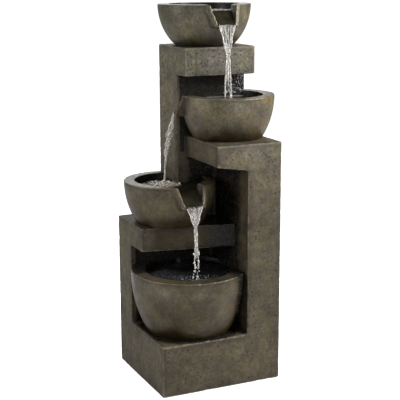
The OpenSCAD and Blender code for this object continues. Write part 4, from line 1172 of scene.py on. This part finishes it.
def build_water():
    build_pools()
    tops = {n: b["rim"] - WATER_DROP for n, b in BOWLS.items()}
    basin_top = BASIN_HIGH.z - BASIN_WATER_DROP
    build_stream(
        "top_stream", "top_bowl", tops["upper_bowl"], drift=8, shift=0,
        edges=[(0, 23), (0.2, 14), (0.39, 5), (0.58, 7.5), (0.66, 9), (0.74, 8)],
        bundles=[
            (4, 0.45, [(0, -14, 8), (0.20, -8, 6), (0.39, -1, 3.5), (0.58, -3, 4), (0.74, -7, 3),
                       (1, -8, 3.5)]),
            (3, 0.75, [(0, 22, 1), (0.2, 13, 1), (0.39, 4, 1.5), (0.58, 6, 2), (0.74, 7, 2.5),
                       (1, 7.5, 3)]),
            (2, 0.36, [(0, 6, 8), (0.2, 4, 6), (0.39, 1, 3)]),
            (7, 0.45, [(0.34, 0, 4), (0.58, 0, 6.5), (0.70, 0, 8), (0.8, 0, 7)]),
            (4, 0.45, [(0.72, 7, 4), (0.86, 7, 3), (1, 8, 3)]),
            (3, 0.55, [(0, -22.5, 1), (0.2, -13, 1), (0.39, -4, 2), (0.58, -6, 2), (0.74, -9, 2),
                       (1, -9, 3)]),
            (2, 0.36, [(0.76, -2, 7), (0.88, 3, 6), (1, 0, 7)]),
        ],
        depth=[(0, 0.5), (0.4, 2.5), (1, 4)], loose=(14, 0.7, 12), seed=31)
    build_stream(
        "upper_stream", "upper_bowl", tops["lower_bowl"], drift=28, shift=9,
        edges=[(0, 11), (0.25, 9), (0.45, 6), (0.62, 3)],
        bundles=[
            (8, 0.85, [(0, -3, 7), (0.25, -4, 4), (0.45, -4, 2.5), (0.64, 0, 2), (1, 0, 2)]),
            (7, 0.95, [(0, 6, 4), (0.25, 6, 3), (0.45, 4, 1.5), (0.64, 1, 1.5), (1, 0, 1.5)]),
            (3, 0.5, [(0.82, 0, 2.5), (1, 0, 3)]),
        ],
        depth=[(0, 4), (0.3, 8), (0.5, 8), (0.64, 2.5), (0.8, 1.5), (1, 2)], loose=(8, 0.7, 6), seed=32)
    build_stream(
        "lower_stream", "lower_bowl", basin_top, drift=6, shift=0,
        edges=[(0, 23), (0.15, 12.5), (0.27, 4.5), (0.62, 4), (0.68, 2)],
        bundles=[
            (6, 0.40, [(0, -8, 13), (0.15, -2, 8), (0.27, 0, 3.5), (0.66, -1, 3.5)]),
            (3, 0.65, [(0, 22.5, 1), (0.15, 12.5, 1), (0.27, 4, 1), (0.60, 4, 1.5), (0.72, 6, 1)]),
            (3, 0.55, [(0, -22.5, 1), (0.15, -12.5, 1), (0.27, -4, 1), (0.60, -4, 1.5), (0.74, -6, 1)]),
            (3, 0.36, [(0, 12, 8), (0.15, -2, 8), (0.27, 0, 3)]),
            (3, 0.36, [(0, -12, 8), (0.15, 4, 6), (0.27, 0, 3)]),
            (2, 0.6, [(0.86, 3, 2), (1, 7, 1)]),
        ],
        depth=[(0, 0.5), (0.3, 2), (1, 3)], loose=(44, 0.60, 9), seed=33)
    basin = (BASIN_AT, BASIN_R - BASIN_WALL - 1, basin_top)
    upper, lower = [(BOWLS[n]["at"], BOWL_R - RIM_W, tops[n]) for n in ("upper_bowl", "lower_bowl")]
    build_splash("upper_splash", lower, UPPER_LANDING, 46, 250, (1.8, 4.8), "froth", 41)
    build_splash("top_splash", upper, TOP_LANDING, 16, 40, (1.0, 2.6), "froth", 42)
    build_splash("basin_splash", basin, LOWER_LANDING, 13, 26, (1.0, 2.6), "froth", 43)
    build_wall_spray()
    build_crest_glint("top_crest_glint", TOP_LANDING, tops["upper_bowl"], 46, 165, 250)
    # pale drops in the basin: painted glints of light on its water
    build_splash("basin_spray", basin, LOWER_LANDING, 84, 340, (0.7, 2.0), "glinting_spray", 44)


def build_wall_spray():
    """Drops thrown on to the tower beside the top stream, pale so that they paint glints of light on the wet
    wall.
    """
    rng = random.Random(45)
    right, low, high = TOWER_HIGH.x, UPPER_HIGH.z - 6, HEAD_LOW.z
    parts = []
    for _ in range(170):
        across, up = 62 * rng.random() ** 1.5, rng.random() ** 1.4
        size = rng.uniform(0.6, 2.0)
        p = (right - 3 - across, TOWER_Y - 0.2, low + (high - low) * up)
        parts.append(bead(p, size, rng.uniform(0.6, 1.8), rng))
    gather("wall_spray", parts, "glinting_spray")


def build_crest_glint(name, centre, level, radius, first, last):
    """A painted highlight on the water: a pale thread along a wave crest, an arc round the place where a
    stream lands.
    """
    points, radii = [], []
    for angle in range(first, last + 1, 5):
        a = math.radians(angle)
        wave = 1 + 0.06 * noise.noise(Vector((a * 3, radius, 0)))
        points.append(Vector((centre[0] + radius * wave * math.cos(a),
                              centre[1] + radius * wave * math.sin(a), level + 0.8)))
        radii.append(0.35 + 0.55 * math.sin(math.pi * (angle - first) / (last - first)))
    gather(name, [thread(points, radii)], "drops")


def build_splash(name, pool, landing, reach, count, sizes, finish, seed):
    """Drops strewn round the place where a stream lands, inside a pool of (middle, radius, level)."""
    middle, pool_r, level = pool
    rng = random.Random(seed)
    parts = []
    for _ in range(count):
        r = reach * rng.random() ** 0.7
        a = rng.random() * 2 * math.pi
        size = rng.uniform(*sizes) * (1.1 - 0.5 * r / reach)
        x, y = landing[0] + r * math.cos(a), landing[1] + r * math.sin(a)
        drop_shape = bead((x, y, level + size * 0.25), size, rng.uniform(0.5, 1.0), rng)
        if math.hypot(x - middle.x, y - middle.y) < pool_r - size:
            parts.append(drop_shape)
    gather(name, parts, finish)


# ---------------------------------------------------------------- stage

# The camera stands to the left of the front, a little higher than the top bowl
CAMERA_AT = mm(-1113.6, -2447.8, 1085.6)
CAMERA_YAW, CAMERA_PITCH, CAMERA_ROLL = 24.61, 12.68, -0.23
CAMERA_LENS = 92.38

AMBIENT = 0.30
# The key light stands high on the right, so the column shades the shelf and the lower bowls
LAMPS = (
    ("key", (1.25, -1.15, 1.70), (0.9, 0.9), 76),
    ("left_fill", (-2.8, 0.1, 1.4), (1.4, 2.0), 50),
    ("front_fill", (-0.2, -3.2, 1.2), (1.6, 1.6), 18),
    ("back", (0.6, 2.8, 2.0), (2.0, 2.0), 30),
)


def build_camera():
    data = bpy.data.cameras.new("camera")
    data.sensor_width = 36
    data.lens = CAMERA_LENS
    camera = link("camera", data)
    yaw, pitch = math.radians(CAMERA_YAW), math.radians(CAMERA_PITCH)
    ahead = Vector((math.sin(yaw) * math.cos(pitch), math.cos(yaw) * math.cos(pitch), -math.sin(pitch)))
    turn = ahead.to_track_quat("-Z", "Y").to_matrix().to_4x4()
    camera.matrix_world = Matrix.Translation(CAMERA_AT) @ turn @ Matrix.Rotation(
        math.radians(CAMERA_ROLL), 4, "Z")
    bpy.context.scene.camera = camera


def area_light(name, place, aim, size, power):
    data = bpy.data.lights.new(name, "AREA")
    data.shape = "RECTANGLE"
    data.size, data.size_y = size
    data.energy = power
    lamp = link(name, data)
    lamp.location = place
    lamp.rotation_mode = "QUATERNION"
    lamp.rotation_quaternion = (Vector(aim) - Vector(place)).to_track_quat("-Z", "Y")


def build_stage():
    scene = bpy.context.scene
    scene.view_settings.view_transform = "Standard"
    world = bpy.data.worlds.new("studio")
    world.use_nodes = True
    back = world.node_tree.nodes["Background"]
    back.inputs["Color"].default_value = (1, 1, 1, 1)
    ray = world.node_tree.nodes.new("ShaderNodeLightPath")
    strength = world.node_tree.nodes.new("ShaderNodeMapRange")
    strength.inputs["To Min"].default_value = AMBIENT
    strength.inputs["To Max"].default_value = 1.1
    world.node_tree.links.new(ray.outputs["Is Camera Ray"], strength.inputs["Value"])
    world.node_tree.links.new(strength.outputs["Result"], back.inputs["Strength"])
    scene.world = world
    floor = from_faces("floor", [(-9000, -9000, 0), (9000, -9000, 0), (9000, 9000, 0), (-9000, 9000, 0)],
                       [(0, 1, 2, 3)])
    shader = Shader("floor")
    tone = shader.mix(shader.patches(3, 2, 0.5, 0.4, 0.6), (0.84, 0.84, 0.84), (0.88, 0.88, 0.88))
    # the floor glows for the camera only, so that it stays pale without lighting the object
    glow = shader.times(shader.node("LightPath").outputs["Is Camera Ray"], 0.9)
    shader.set(color=tone, rough=0.8, specular=0.1, glow=glow)
    shader.feed(shader.main.inputs["Emission Color"], (1, 1, 1))
    floor.data.materials.append(shader.material)
    for name, place, size, power in LAMPS:
        area_light(name, place, (0, 0, 0.5), size, power)


build_camera()
build_stage()
dress_cad_nodes()
build_blocks()
for number, bowl_name in enumerate(BOWLS):
    build_bowl(bowl_name, 11 + 3 * number)
build_basin()
build_water()
